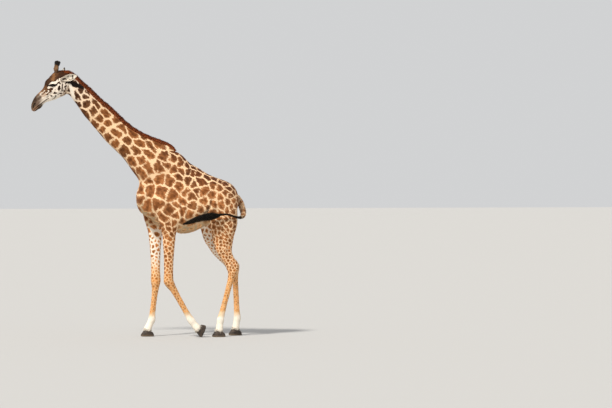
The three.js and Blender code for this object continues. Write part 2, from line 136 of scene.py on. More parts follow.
def lattice(cells, seed):
    """A number from -1 to 1 for each whole-numbered cell, mixed from its place by large odd factors."""
    x, y, z = np.moveaxis(cells, -1, 0)
    mixed = x * 374761393 + y * 668265263 + z * 2147483647 + seed * 1274126177
    mixed = (mixed ^ (mixed >> 13)) * 1274126177
    mixed = mixed ^ (mixed >> 16)
    return (mixed & 0xFFFFFF) / float(0xFFFFFF) * 2 - 1


def noise(points, scale, seed=0):
    """Smooth noise from -1 to 1, `scale` metres from one lump to the next."""
    scaled = np.asarray(points, dtype=float) / scale + 1000
    base = np.floor(scaled).astype(np.int64)
    part = scaled - base
    part = part * part * (3 - 2 * part)
    total = np.zeros(len(scaled))
    for corner in np.ndindex(2, 2, 2):
        share = np.ones(len(scaled))
        for axis in range(3):
            share = share * (part[:, axis] if corner[axis] else 1 - part[:, axis])
        total += share * lattice(base + np.array(corner), seed)
    return total


def noise_vector(points, scale, seed):
    return np.stack([noise(points, scale, seed + axis) for axis in range(3)], axis=1)


def polyline_distance(points, line):
    """How far each point is from a line of points, and the share along it (0 to 1) of the nearest place."""
    line = np.array(line)
    steps = np.linalg.norm(np.diff(line, axis=0), axis=1)
    starts = np.concatenate([[0], np.cumsum(steps)])
    best, where = np.full(len(points), FAR), np.zeros(len(points))
    for i, step in enumerate(steps):
        rel, run = points - line[i], line[i + 1] - line[i]
        share = np.clip(rel @ run / step**2, 0, 1)
        away = np.linalg.norm(rel - share[:, None] * run, axis=1)
        closer = away < best
        best[closer] = away[closer]
        where[closer] = (starts[i] + share[closer] * step) / starts[-1]
    return best, where


def curve_through(stations, count):
    """`count` rows spaced evenly along a smooth curve through the stations' first three columns."""
    steps = np.linspace(0, 1, 24, endpoint=False)[:, None]
    stations = np.array(stations, dtype=float)
    padded = np.vstack([2 * stations[0] - stations[1], stations, 2 * stations[-1] - stations[-2]])
    fine = []
    for i in range(len(stations) - 1):
        p0, p1, p2, p3 = padded[i : i + 4]
        fine.append(0.5 * (2 * p1 + (p2 - p0) * steps + (2 * p0 - 5 * p1 + 4 * p2 - p3) * steps**2
                           + (3 * p1 - p0 - 3 * p2 + p3) * steps**3))
    fine = np.vstack(fine + [stations[-1:]])
    length = np.concatenate([[0], np.cumsum(np.linalg.norm(np.diff(fine[:, :3], axis=0), axis=1))])
    even = np.linspace(0, length[-1], count)
    return np.stack([np.interp(even, length, column) for column in fine.T], axis=1)


# ---------------------------------------------------------------- meshes


def read_rows(items, field, width, kind=float):
    """One field of a mesh's vertices, edges or triangles, a row for each."""
    rows = np.empty(len(items) * width, dtype=kind)
    items.foreach_get(field, rows)
    return rows.reshape(-1, width)


def points_of(mesh):
    return read_rows(mesh.vertices, "co", 3)


def triangles_of(mesh):
    mesh.calc_loop_triangles()
    return read_rows(mesh.loop_triangles, "vertices", 3, np.int64)


def edges_of(mesh):
    return read_rows(mesh.edges, "vertices", 2, np.int64)


def normals_of(points, triangles):
    a, b, c = points[triangles[:, 0]], points[triangles[:, 1]], points[triangles[:, 2]]
    facing = np.cross(b - a, c - a)
    normals = np.zeros_like(points)
    for corner in range(3):
        for axis in range(3):
            normals[:, axis] += np.bincount(triangles[:, corner], facing[:, axis], len(points))
    return unit(normals)


class Web:
    """The edges of a mesh, to spread values from each vertex to its neighbours."""

    def __init__(self, edges, count):
        self.a, self.b, self.count = edges[:, 0], edges[:, 1], count
        self.degree = np.bincount(edges.ravel(), minlength=count).clip(1)

    def mean(self, values):
        if values.ndim == 1:
            total = np.bincount(self.a, values[self.b], self.count)
            return (total + np.bincount(self.b, values[self.a], self.count)) / self.degree
        return np.stack([self.mean(values[:, k]) for k in range(values.shape[1])], axis=1)

    def spread(self, values, times):
        for _ in range(times):
            values = (values + self.mean(values)) / 2
        return values

    def relaxed(self, values, weight, times):
        weight = weight if values.ndim == 1 else weight[:, None]
        for _ in range(times):
            values = values + (self.mean(values) - values) * weight * 0.6
        return values

    def smoothed(self, points, weight, times):
        """Smoothing that gives back the large form it would otherwise shrink."""
        soft = self.relaxed(points, weight, times)
        return soft + self.relaxed(points - soft, weight, times)


def new_object(name, mesh, slot=None, replaces=()):
    obj = bpy.data.objects.new(name, mesh)
    bpy.context.scene.collection.objects.link(obj)
    if slot:
        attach(obj, "root")
    if replaces:
        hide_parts(*replaces)
    return obj


def mesh_from(name, points, faces):
    """A mesh of equal-sided faces from arrays."""
    mesh = bpy.data.meshes.new(name)
    count, sides = faces.shape
    mesh.vertices.add(len(points))
    mesh.vertices.foreach_set("co", np.ascontiguousarray(points, dtype=np.float32).ravel())
    mesh.loops.add(count * sides)
    mesh.loops.foreach_set("vertex_index", np.ascontiguousarray(faces, dtype=np.int32).ravel())
    mesh.polygons.add(count)
    mesh.polygons.foreach_set("loop_start", np.arange(count, dtype=np.int32) * sides)
    mesh.polygons.foreach_set("use_smooth", np.ones(count, dtype=bool))
    mesh.update(calc_edges=True)
    return mesh


def set_attribute(mesh, name, values):
    values = np.ascontiguousarray(values, dtype=np.float32)
    if values.ndim == 1:
        mesh.attributes.new(name, "FLOAT", "POINT").data.foreach_set("value", values)
    else:
        mesh.attributes.new(name, "FLOAT_VECTOR", "POINT").data.foreach_set("vector", values.ravel())


def set_points(mesh, points):
    """Moves a mesh's vertices to their new places and shades it smooth."""
    mesh.vertices.foreach_set("co", points.astype(np.float32).ravel())
    mesh.polygons.foreach_set("use_smooth", np.ones(len(mesh.polygons), dtype=bool))
    mesh.update()


def remeshed(mesh, voxel):
    source = new_object("remesh_source", mesh)
    modifier = source.modifiers.new("remesh", "REMESH")
    modifier.mode = "VOXEL"
    modifier.voxel_size = voxel
    evaluated = source.evaluated_get(bpy.context.evaluated_depsgraph_get())
    result = bpy.data.meshes.new_from_object(evaluated)
    bpy.data.objects.remove(source)
    return result


def subdivided(mesh, chosen):
    """Splits the faces whose vertices are all chosen in four."""
    bm = bmesh.new()
    bm.from_mesh(mesh)
    bm.verts.ensure_lookup_table()
    edges = [edge for edge in bm.edges if chosen[edge.verts[0].index] and chosen[edge.verts[1].index]]
    bmesh.ops.subdivide_edges(bm, edges=edges, cuts=1, use_grid_fill=True)
    bmesh.ops.triangulate(bm, faces=[face for face in bm.faces if len(face.verts) > 4])
    bm.to_mesh(mesh)
    bm.free()


# ---------------------------------------------------------------- the skin's shape

COAT_DEPTH = 0.004  # how far the skin lies inside the solids, under the coat
CUT_CLOSING = 0.0009  # how far each solid is grown, to close the cuts between them
VOXEL = 0.0200 * 1
MAGNIFY, MAGNIFY_REACH = 0.75, 0.26
MAGNIFY_CENTRE = head_point(0, 0.22, 0)
LEGS_BELOW = 1.40  # height under which the skin's faces are finer
# The line between the lips, from the front back, in metres towards the muzzle and above the skull's middle.
MOUTH_LINE = [
    [0.566, -0.030], [0.535, -0.021], [0.470, -0.024], [0.380, -0.034], [0.315, -0.040], [0.275, -0.050],
]
MOUTH_FINE = 0.0065  # how far from it the faces are finer
# Places round which the faces are finer as well, and how far: the muzzle, and twice over each eye.
FINER = [(head_point(0, 0.50, -0.01), 0.10)]
FINER += [(EYE[hand], reach) for reach in (0.050, 0.036) for hand in EYE]


def magnified(points):
    """Spreads the head out, so that one voxel size gives it finer faces than the body."""
    rel = points - MAGNIFY_CENTRE
    r = np.linalg.norm(rel, axis=1, keepdims=True) + 1e-9
    return MAGNIFY_CENTRE + rel * (1 + MAGNIFY * (1 - np.exp(-r / MAGNIFY_REACH)) / r)


def demagnified(points):
    rel = points - MAGNIFY_CENTRE
    far = np.linalg.norm(rel, axis=1, keepdims=True) + 1e-9
    r = far / (1 + MAGNIFY / MAGNIFY_REACH)
    for _ in range(30):
        error = r + MAGNIFY * (1 - np.exp(-r / MAGNIFY_REACH)) - far
        r = r - error / (1 + MAGNIFY / MAGNIFY_REACH * np.exp(-r / MAGNIFY_REACH))
    return MAGNIFY_CENTRE + rel * r / far


def flesh_mesh():
    """Every node of flesh in one mesh, and the part of the body that each triangle belongs to."""
    all_points, all_triangles, owner, base = [], [], [], 0
    for part, nodes in enumerate(PART_NODES.values()):
        for name in nodes:
            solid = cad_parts[name].data
            points, triangles = points_of(solid), triangles_of(solid)
            all_points.append(points + normals_of(points, triangles) * CUT_CLOSING)
            all_triangles.append(triangles + base)
            owner.append(np.full(len(triangles), part))
            base += len(points)
    return np.concatenate(all_points), np.concatenate(all_triangles), np.concatenate(owner)


def split_fields(points):
    """How far points lie to the left of the skull's middle, towards the muzzle and above."""
    rel = points - SKULL
    return rel[:, 0], rel @ FACE, rel @ CROWN


def side_line(points, line):
    """Distance to a line drawn on the side of the head as [toward, above], and the share along it."""
    _, t, s = split_fields(points)
    return polyline_distance(np.stack([t, s], axis=1), line)


flesh_points, flesh_triangles, flesh_owner = flesh_mesh()
flesh_tree = BVHTree.FromPolygons(flesh_points.tolist(), flesh_triangles.tolist())
skin_mesh = remeshed(mesh_from("flesh", magnified(flesh_points), flesh_triangles), VOXEL)
skin_mesh.name = "skin"
set_points(skin_mesh, demagnified(points_of(skin_mesh)))
subdivided(skin_mesh, points_of(skin_mesh)[:, 2] < LEGS_BELOW)
for middle, reach in FINER:
    subdivided(skin_mesh, np.linalg.norm(points_of(skin_mesh) - middle, axis=1) < reach)
subdivided(skin_mesh, side_line(points_of(skin_mesh), MOUTH_LINE)[0] < MOUTH_FINE)

skin_points = points_of(skin_mesh)
skin_triangles = triangles_of(skin_mesh)
web = Web(edges_of(skin_mesh), len(skin_points))

nearest = [flesh_tree.find_nearest(Vector(p))[2] for p in skin_points]
skin_owner = flesh_owner[np.array(nearest)]
part_share = {name: web.spread((skin_owner == i).astype(float), 30) for i, name in enumerate(PART_NAMES)}
on_head = part_share["head"]
on_neck = part_share["neck"]
on_trunk = part_share["trunk"]
on_legs = sum(part_share[name] for name in LEG_NODES)
height = skin_points[:, 2]
upper_body = np.clip(1 - on_head, 0, 1) * smoothstep(1.25, 1.65, height)

skin_points = web.smoothed(skin_points, 0.35 + 0.65 * upper_body - 0.15 * on_head, 14)
skin_points = web.smoothed(skin_points, upper_body, 60)
skin_points = web.relaxed(skin_points, np.full(len(skin_points), 0.4), 3)


# ---------------------------------------------------------------- folds, muscles and features


def raise_skin(points, amount):
    return points + normals_of(points, skin_triangles) * amount[:, None]


def facing_aside(points, low, high):
    """1 where the skin faces left or right, falling to 0 where it faces another way."""
    return smoothstep(low, high, np.abs(normals_of(points, skin_triangles)[:, 0]))


def swellings(places, forms):
    """Rounded swellings, or hollows where the height is negative: one on each side unless x is 0."""
    total = np.zeros(len(places))
    for centre, reach, by in forms:
        for hand in (1, -1) if centre[0] else (1,):
            rel = places - np.array(centre) * [hand, 1, 1]
            total += by * bell(np.linalg.norm(rel / reach, axis=1))
    return total


def flank_line(points, line):
    """Distance to a line drawn on the side of the body as [y, z], and the share along it."""
    return polyline_distance((points - WITHERS)[:, 1:], line)


def crease(points, line, width, depth):
    """A fold along a line on both flanks: a furrow with a soft lip behind it."""
    away, where = flank_line(points, line)
    lip = 0.45 * depth * bell((away - 2.2 * width) / (1.6 * width))
    furrow = lip - depth * bell(away / width)
    return furrow * window(where, 0, 0.2, 0.8, 1) * facing_aside(points, 0.25, 0.6)


BODY_SWELLS = [  # centre, reach, height
    ([0.235, -0.16, 2.02], [0.16, 0.10, 0.13], 0.012),  # point of the shoulder
    ([0.20, -0.02, 2.30], [0.14, 0.045, 0.24], 0.010),  # ridge of the shoulder blade
    ([0.25, 0.02, 1.72], [0.12, 0.10, 0.14], 0.010),  # long muscle behind the upper arm
    ([0.26, 0.14, 1.95], [0.14, 0.05, 0.22], -0.008),  # dip behind the shoulder
    ([0.20, 0.66, 1.86], [0.16, 0.09, 0.22], 0.010),  # front of the thigh
    ([0.20, 0.80, 1.66], [0.14, 0.06, 0.20], 0.006),
    ([0.215, 0.55, 2.20], [0.09, 0.07, 0.05], 0.010),  # point of the hip
    ([0.24, 0.47, 1.98], [0.10, 0.07, 0.14], -0.010),  # hollow of the flank
    ([0.0, 0.790, 2.120], [0.045, 0.080, 0.070], 0.012),  # root of the tail
    ([0.0, 0.865, 2.045], [0.050, 0.060, 0.055], 0.024),
    ([0.0, 0.915, 1.975], [0.056, 0.050, 0.075], 0.016),
]
CREASES = [  # line, width, depth
    ([[0.045, 1.97], [0.05, 1.86], [0.066, 1.74], [0.068, 1.62]], 0.015, 0.022),  # behind the elbow
    ([[0.51, 2.00], [0.482, 1.88], [0.435, 1.80], [0.36, 1.73]], 0.017, 0.018),  # flank to thigh
    ([[-0.462, 2.20], [-0.487, 2.05], [-0.48, 1.94], [-0.45, 1.82]], 0.015, 0.016),  # base of the neck
    ([[-0.405, 2.24], [-0.425, 2.08], [-0.40, 1.90]], 0.014, 0.008),
    ([[-0.45, 1.81], [-0.36, 1.70], [-0.27, 1.61], [-0.20, 1.53]], 0.016, 0.020),  # breast to elbow
]
RIB_SLANT, RIB_SPACING, RIB_HEIGHT = 0.35, 0.075, 0.0022  # the ribs slant back as they go down


def sculpt_body(points):
    """Muscles, folds and ribs, and the unevenness of what lies under the skin."""
    points = raise_skin(points, swellings(points - WITHERS, BODY_SWELLS))
    for fold in CREASES:
        points = raise_skin(points, crease(points, *fold))
    rel = points - WITHERS
    ribs = np.sin((rel[:, 1] + RIB_SLANT * (rel[:, 2] - 1.9)) / RIB_SPACING * 2 * math.pi)
    barrel = bell((rel[:, 1] - 0.30) / 0.20) * bell((rel[:, 2] - 1.86) / 0.20)
    points = raise_skin(points, RIB_HEIGHT * ribs * barrel)
    broad = 0.0035 * noise(points, 0.16, 3) * (on_trunk + on_neck)
    return raise_skin(points, broad + 0.0012 * noise(points, 0.05, 4))


MANE_LINE = [  # the top of the mane, metres behind the withers and above the floor, from the poll back
    (-1.660, 3.800), (-1.560, 3.800), (-1.480, 3.778), (-1.404, 3.724), (-1.335, 3.662), (-1.219, 3.561),
    (-1.074, 3.421), (-0.929, 3.300), (-0.784, 3.163), (-0.639, 3.035), (-0.493, 2.945), (-0.348, 2.873),
    (-0.203, 2.818), (-0.058, 2.768), (0.040, 2.706),
]
# Its height at shares of its length, and the line of the groove over the vein.
MANE_HEIGHT = [(0, 0.034), (0.12, 0.060), (0.5, 0.050), (0.8, 0.038), (0.95, 0.026), (1, 0.012)]
JUGULAR = [[-0.30, 2.20], [-0.63, 2.48], [-0.95, 2.83], [-1.25, 3.20], [-1.42, 3.42]]


def mane_curve(count):
    return curve_through([(0, y, z) for y, z in MANE_LINE], count)


def neck_forms(points):
    """The crest that carries the mane, and the groove over the jugular vein."""
    top_line = mane_curve(60)[:, 1:]
    below, where = flank_line(points, top_line)
    way = sampled(unit(np.gradient(top_line, axis=0)), where)
    out = unit(np.stack([0 * where, -way[:, 1], way[:, 0]], axis=1))
    lift = np.clip(below - read_off(MANE_HEIGHT, where)[0], 0, 0.06)
    lift *= smoothstep(0.17, 0.12, below) * window(where, 0, 0.02, 0.97, 1)
    lift *= bell((points - WITHERS)[:, 0] / 0.034)
    points = points + out * lift[:, None]
    away, where = flank_line(points, JUGULAR)
    groove = -0.008 * bell(away / 0.030) * window(where, 0, 0.15, 0.9, 1) * facing_aside(points, 0.5, 0.9)
    return raise_skin(points, groove * on_neck)


def leg_forms(points):
    """Tendons behind the lower legs and hollows beside the hock."""
    amount = np.zeros(len(points))
    for name, nodes in LEG_NODES.items():
        low, high = node_box(nodes[1])
        middle = body_line[name]
        behind = points[:, 1] - np.interp(points[:, 2], middle[:, 2], middle[:, 1])
        shaft = window((points[:, 2] - low[2]) / (high[2] - low[2]), 0.08, 0.2, 0.78, 0.92)
        amount -= part_share[name] * shaft * 0.0045 * bell((behind - 0.020) / 0.010)
        if name.startswith("hind"):
            gaskin = window(points[:, 2], 1.02, 1.12, 1.28, 1.42)
            amount -= part_share[name] * gaskin * 0.011 * bell((behind - 0.048) / 0.020)
    return raise_skin(points, amount * facing_aside(points, 0.4, 0.8))


def centre_line(nodes, axis):
    """The middle of the flesh of some nodes, step by step along an axis."""
    points = np.concatenate([points_of(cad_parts[node].data) for node in nodes])
    along = points @ axis
    edges = np.linspace(along.min(), along.max(), 41)
    rows = []
    for low, high in zip(edges[:-1], edges[1:]):
        inside = points[(along >= low) & (along <= high)]
        if len(inside) > 3:
            rows.append((inside.min(0) + inside.max(0)) / 2)
    rows = np.array(rows)
    return rows[np.argsort(rows @ axis)]


UP, ACROSS, BACKWARD = np.array([0.0, 0.0, 1.0]), np.array([1.0, 0.0, 0.0]), np.array([0.0, 1.0, 0.0])
NECK_AXIS = unit(body_point(0, -1.57, 3.67) - body_point(0, -0.23, 2.40))
NECK_LENGTH = 1.85
PART_AXES = {"head": FACE, "neck": NECK_AXIS, "trunk": BACKWARD, **{leg: UP for leg in LEG_NODES}}
body_line = {name: centre_line(nodes, PART_AXES[name]) for name, nodes in PART_NODES.items()}


HEAD_FORMS = [  # centre (x, toward the muzzle, above), reach, height
    ((0.084, 0.126, 0.094), (0.030, 0.042, 0.017), 0.010),  # bony rim over the eye
    ((0.088, 0.075, 0.062), (0.030, 0.022, 0.030), 0.004),  # outer corner
    ((0.080, 0.190, 0.052), (0.030, 0.026, 0.028), -0.009),  # hollow before the eye
    ((0.090, 0.060, 0.012), (0.040, 0.055, 0.016), 0.007),  # cheekbone under and behind the eye
    ((0.075, 0.230, 0.000), (0.030, 0.085, 0.012), 0.007),  # crest of the cheek
    ((0.072, 0.290, -0.030), (0.030, 0.060, 0.022), -0.006),
    ((0.060, 0.330, 0.060), (0.030, 0.070, 0.022), -0.005),  # hollow beside the nose bones
    ((0.095, 0.030, -0.070), (0.040, 0.060, 0.060), 0.006),  # jaw muscle
    ((0.090, 0.112, -0.060), (0.030, 0.012, 0.055), -0.005),  # front edge of the jaw muscle
    ((0.070, -0.010, 0.110), (0.040, 0.045, 0.035), -0.009),  # temple
    ((0.0, 0.150, 0.150), (0.032, 0.055, 0.040), 0.010),  # low swelling in the middle of the forehead
    ((0.043, -0.040, 0.150), (0.044, 0.052, 0.040), 0.010),  # foot of the horn
    ((0.034, 0.300, 0.100), (0.014, 0.100, 0.030), 0.006),  # edges of the nose bones
    ((0.0, 0.330, 0.110), (0.016, 0.090, 0.030), -0.003),
    ((0.055, 0.420, 0.020), (0.030, 0.050, 0.030), 0.003),  # pad of the upper lip
    ((0.040, 0.535, -0.012), (0.035, 0.030, 0.016), 0.005),
    ((0.030, 0.525, -0.048), (0.030, 0.026, 0.014), 0.005),  # lower lip
    ((0.0, 0.470, -0.075), (0.030, 0.030, 0.020), 0.005),  # chin
    ((0.0, 0.565, -0.020), (0.012, 0.030, 0.020), -0.003),  # cleft of the upper lip
]
NOSTRIL_LINE = [[0.536, -0.002], [0.520, 0.018], [0.496, 0.030], [0.470, 0.030]]
FACE_VEINS = [
    [[0.24, -0.045], [0.20, -0.01], [0.17, 0.02], [0.165, 0.05]],
    [[0.20, -0.01], [0.27, 0.01], [0.34, 0.012]],
    [[0.12, -0.13], [0.17, -0.095], [0.22, -0.06], [0.24, -0.045]],
]


def sculpt_head(points):
    points = raise_skin(points, swellings(np.stack(split_fields(points), axis=1), HEAD_FORMS) * on_head)
    x, t, s = split_fields(points)
    # the lips, and the line of the mouth between them
    away, where = side_line(points, MOUTH_LINE)
    below = np.sign(s - read_off(MOUTH_LINE[::-1], t)[0])
    lips = 0.0030 * bell((away - 0.012) / 0.008) * (1 + 0.4 * below)
    points = raise_skin(points, (lips - 0.0080 * bell(away / 0.0042)) * smoothstep(1, 0.93, where) * on_head)
    # the nostrils and their rims
    away, where = side_line(points, NOSTRIL_LINE)
    side = smoothstep(0.018, 0.030, np.abs(x)) * smoothstep(0.40, 0.44, t)
    rim = 0.0045 * bell((away - 0.012) / 0.006)
    hole = 0.013 * bell(away / 0.0052)
    points = raise_skin(points, (rim - hole) * window(where, 0, 0.12, 0.8, 1) * side * on_head)
    facing = facing_aside(points, 0.5, 0.8) * on_head
    for vein in FACE_VEINS:
        away, where = side_line(points, vein)
        points = raise_skin(points, 0.0030 * bell(away / 0.0055) * smoothstep(1, 0.8, where) * facing)
    # fine wrinkles at the corner of the mouth and on the upper lip
    wrinkles = np.sin(noise(points, 0.03, 9) * 3 + (t * 0.9 - s * 0.5) / 0.0065 * 2)
    around_mouth = bell(np.hypot(t - 0.270, s + 0.048) / 0.03) + 0.6 * bell(np.hypot(t - 0.5, s) / 0.05)
    return raise_skin(points, 0.0006 * wrinkles * around_mouth * facing)


# The opening of the eye: how far it reaches to each corner, and how high above and below the line between.
EYE_SLIT = {"half": 0.0235, "top": 0.0105, "bottom": 0.0085}
LID = 0.0038
LID_EDGE = 0.0008  # points this near the edge of the opening are drawn onto it, so that it is a clean line
LID_BLEND = 0.006  # over which the lids run out into the face
BEHIND_LIDS = -0.03  # depth from the middle of the ball behind which the head isn't shaped by the eye
SINK = 0.90  # the skin inside the opening lies on a ball this much smaller than the eye


def eye_axes(hand):
    """Outward, along the slit to its front corner, and up, for one eye."""
    out = unit(np.array([hand, -0.22, -0.02]))
    front = np.array([0, -math.cos(math.radians(8)), -math.sin(math.radians(8))])
    front = unit(front - out * (front @ out))
    up = np.cross(front, out) * hand
    return out, front, up if up[2] > 0 else -up


def slit_share(u):
    """How far the eye is open at `u` along its slit, as a share of the most."""
    return np.clip(1 - (u / EYE_SLIT["half"]) ** 2, 0, 1) ** 0.75


def sculpt_eye(points, hand):
    """Two lids that lie on the ball, with folds round them, and an opening through which it shows."""
    out, front, up = eye_axes(hand)
    rel = points - EYE[hand]
    depth, u, v = rel @ out, rel @ front, rel @ up
    across = np.hypot(u, v)
    outer = depth > BEHIND_LIDS
    # past `turn` the lids leave the ball and slope straight down to the face
    lid_radius = EYE_RADIUS + LID
    turn = 0.78 * lid_radius
    turn_depth = math.sqrt(lid_radius**2 - turn**2)
    round_part = np.sqrt(np.maximum(lid_radius**2 - across**2, 0))
    dome = np.where(across < turn, round_part, turn_depth - turn / turn_depth * (across - turn))
    gap = dome - depth
    soft_gap = np.where(gap > -LID_BLEND, (gap + LID_BLEND) ** 2 / (4 * LID_BLEND), 0)
    new_depth = depth + np.where(gap > LID_BLEND, gap, soft_gap) * outer
    share = slit_share(u)
    under_top, over_bottom = share * EYE_SLIT["top"] - v, share * EYE_SLIT["bottom"] + v
    inside = np.minimum(under_top, over_bottom)
    hole = (inside > LID_EDGE) * (np.abs(u) < EYE_SLIT["half"]) * outer
    rim = (np.abs(inside) <= LID_EDGE) * (share > 0) * outer
    shift_up = np.where(under_top < over_bottom, inside, -inside) * rim
    sunk = np.sqrt(np.maximum((EYE_RADIUS * SINK) ** 2 - across**2, 0))
    new_depth = new_depth + (sunk - new_depth) * hole
    relief = 0.0008 * bell((inside + 0.0028) / 0.0018)
    within = smoothstep(0.028, 0.018, np.abs(u))
    for beyond, away, width, deep in (
        (under_top, 0.0072, 0.0016, 0.0014),
        (over_bottom, 0.0068, 0.0016, 0.0010),
        (under_top, 0.0125, 0.0020, 0.0010),
    ):
        relief -= deep * bell((beyond + away) / width) * within
    near = smoothstep(1.9 * EYE_RADIUS, 1.15 * EYE_RADIUS, across) * outer
    new_depth = new_depth + relief * near
    return points + out * (new_depth - depth)[:, None] + up * shift_up[:, None]


skin_points = leg_forms(neck_forms(sculpt_body(skin_points)))
coat_depth = COAT_DEPTH * (1 - 0.55 * on_head) * (0.5 + 0.5 * smoothstep(0.25, 0.9, height))
skin_points = sculpt_head(raise_skin(skin_points, -coat_depth))
for hand in SIDES.values():
    skin_points = sculpt_eye(skin_points, hand)
skin_normals = normals_of(skin_points, skin_triangles)
set_points(skin_mesh, skin_points)
new_object("skin", skin_mesh, "hide", FLESH)

# ---------------------------------------------------------------- colours


def srgb(red, green, blue):
    """A colour given as 0 to 255, in the linear values that shaders use."""
    value = np.array([red, green, blue]) / 255
    return np.where(value <= 0.04045, value / 12.92, ((value + 0.055) / 1.055) ** 2.4)


CREAM, PALE_IN_SHADE, WHITE = srgb(243, 206, 164), srgb(206, 182, 144), srgb(246, 235, 218)
BROWN, DARK_BROWN, NECK_BROWN = srgb(142, 92, 54), srgb(84, 44, 20), srgb(122, 76, 41)
LEG_GROUND, ORANGE, DEEP_ORANGE = srgb(218, 178, 130), srgb(188, 130, 76), srgb(166, 108, 60)
CHESTNUT, MUZZLE, INK = srgb(84, 48, 24), srgb(82, 61, 42), srgb(26, 19, 15)
CHEEK, LIP, SPOT = srgb(243, 228, 210), srgb(208, 158, 122), srgb(56, 40, 30)
FACE_TAN, FACE_BROWN, EAR_SHADOW_SMOKE = srgb(152, 114, 82), srgb(76, 48, 29), srgb(40, 35, 32)
BELLY_SHADE, NOSE_TAN, NOSE_PALE = srgb(150, 126, 94), srgb(140, 103, 73), srgb(186, 148, 114)
NOSE_DARK, LIP_GREY, CHIN_BROWN = srgb(58, 41, 28), srgb(134, 108, 94), srgb(66, 50, 34)
MOUTH_DARK, TAIL_DARK = srgb(58, 38, 30), srgb(48, 36, 28)
EAR_PALE, EAR_RUST = srgb(242, 230, 212), srgb(150, 104, 70)
EAR_DARK, EAR_PINK = srgb(44, 34, 28), srgb(96, 70, 58)
HAIR_BLACK, HORN_TAN = srgb(26, 20, 17), srgb(146, 110, 78)


def paint(colours, mask, colour):
    colours += mask[:, None] * (colour - colours)


# ---------------------------------------------------------------- markings

rel = skin_points - WITHERS
body_y, body_z = rel[:, 1], rel[:, 2]
head_x, head_t, head_s = split_fields(skin_points)
off_middle = np.abs(head_x)


def skin_noise(scale, seed):
    return noise(skin_points, scale, seed)


up_neck = np.clip((rel - np.array([0, -0.23, 2.40])) @ NECK_AXIS / NECK_LENGTH, 0, 1)
rump = smoothstep(0.40, 0.78, body_y) * smoothstep(1.6, 1.9, body_z)
breast = smoothstep(-0.25, -0.40, body_y) * smoothstep(2.1, 1.8, body_z)
inner_leg = smoothstep(0.15, 0.65, -skin_normals[:, 0] * np.sign(head_x)) * np.clip(2 * on_legs, 0, 1)
under = smoothstep(0.35, 0.85, -skin_normals[:, 2]) * (1 - on_head) * smoothstep(1.3, 1.5, body_z)
under = np.clip(under * (1 - on_neck), 0, 1)


def zone_blend(trunk, neck, legs, head):
    """A value for each kind of part, blended where they meet."""
    shares = (on_trunk, on_neck, on_legs, on_head)
    return sum(value * share for value, share in zip((trunk, neck, legs, head), shares)) / sum(shares)


def by_height(*pairs):
    """A value read off by the height above the floor."""
    return read_off(pairs, body_z)[0]


# The patches' size and half the width of the lines between them, in metres, both finer on back and rump.
upper_back = smoothstep(2.05, 2.35, body_z) * smoothstep(-0.15, 0.25, body_y)
finer = np.maximum(rump, upper_back)
hind = smoothstep(0.1, 0.5, body_y)
pitch = zone_blend(
    0.146 - 0.058 * finer - 0.030 * smoothstep(1.85, 1.65, body_z),
    0.142 - 0.050 * up_neck,
    by_height((0.3, 0.028), (0.75, 0.038), (1.1, 0.046), (1.4, 0.060), (1.7, 0.082)) * (1 - 0.18 * hind),
    0.042,
)
half_line = zone_blend(
    0.0108 - 0.0032 * finer,
    0.0098 + 0.0018 * bell((up_neck - 0.5) / 0.35),
    by_height((0.3, 0.0038), (0.8, 0.0040), (1.3, 0.0052), (1.7, 0.0080)) * (1 - 0.12 * hind),
    0.0085,
)
half_line = half_line + 0.005 * inner_leg * smoothstep(0.75, 1.1, body_z) + 0.004 * under


def cell_edges(places, spacing, uneven, neighbours):
    """Cells round scattered seeds: the distance to the cell's edge, its number, and how many there are."""
    free = np.ones(len(places), dtype=bool)
    seeds = []
    for i in rng.permutation(len(places)):
        if free[i]:
            seeds.append(i)
            offset = places - places[i]
            free &= np.einsum("ij,ij->i", offset, offset) > (spacing[i] * rng.uniform(*uneven)) ** 2
    tree = KDTree(len(seeds))
    for k, i in enumerate(seeds):
        tree.insert(places[i], k)
    tree.balance()
    found = np.array([[k for _, k, _ in tree.find_n(p, neighbours)] for p in places])
    centres = places[seeds]
    own = centres[found[:, 0]]
    nearest_edge = np.full(len(places), FAR)
    for column in range(1, neighbours):
        other = centres[found[:, column]]
        apart = np.linalg.norm(other - own, axis=1)
        away = (np.sum((places - other) ** 2, axis=1) - np.sum((places - own) ** 2, axis=1)) / (2 * apart)
        nearest_edge = np.minimum(nearest_edge, away)
    return nearest_edge, found[:, 0], len(seeds)


# The patches are cells with wandering edges, drawn out along the neck, and smaller cells nick their rims.
warped = skin_points + noise_vector(skin_points, 0.12, 21) * (0.25 * pitch)[:, None]
warped += noise_vector(skin_points, 0.05, 31) * (0.13 * pitch)[:, None]
warped -= NECK_AXIS * (0.24 * on_neck * up_neck * NECK_LENGTH)[:, None]
edge, cell, cell_count = cell_edges(warped, pitch, (0.66, 1.04), 8)
nick = cell_edges(warped, pitch * 0.5, (0.8, 1.1), 5)[0]
patch_tint = rng.uniform(0, 1, cell_count)[cell]
# `marking` is how far inside a patch a place lies, in metres, and is negative between the patches.
marking = np.minimum(edge - half_line, nick - 0.7 * half_line + (0.36 + 0.10 * on_legs) * edge)

# ---------------------------------------------------------------- colours of every place on the skin

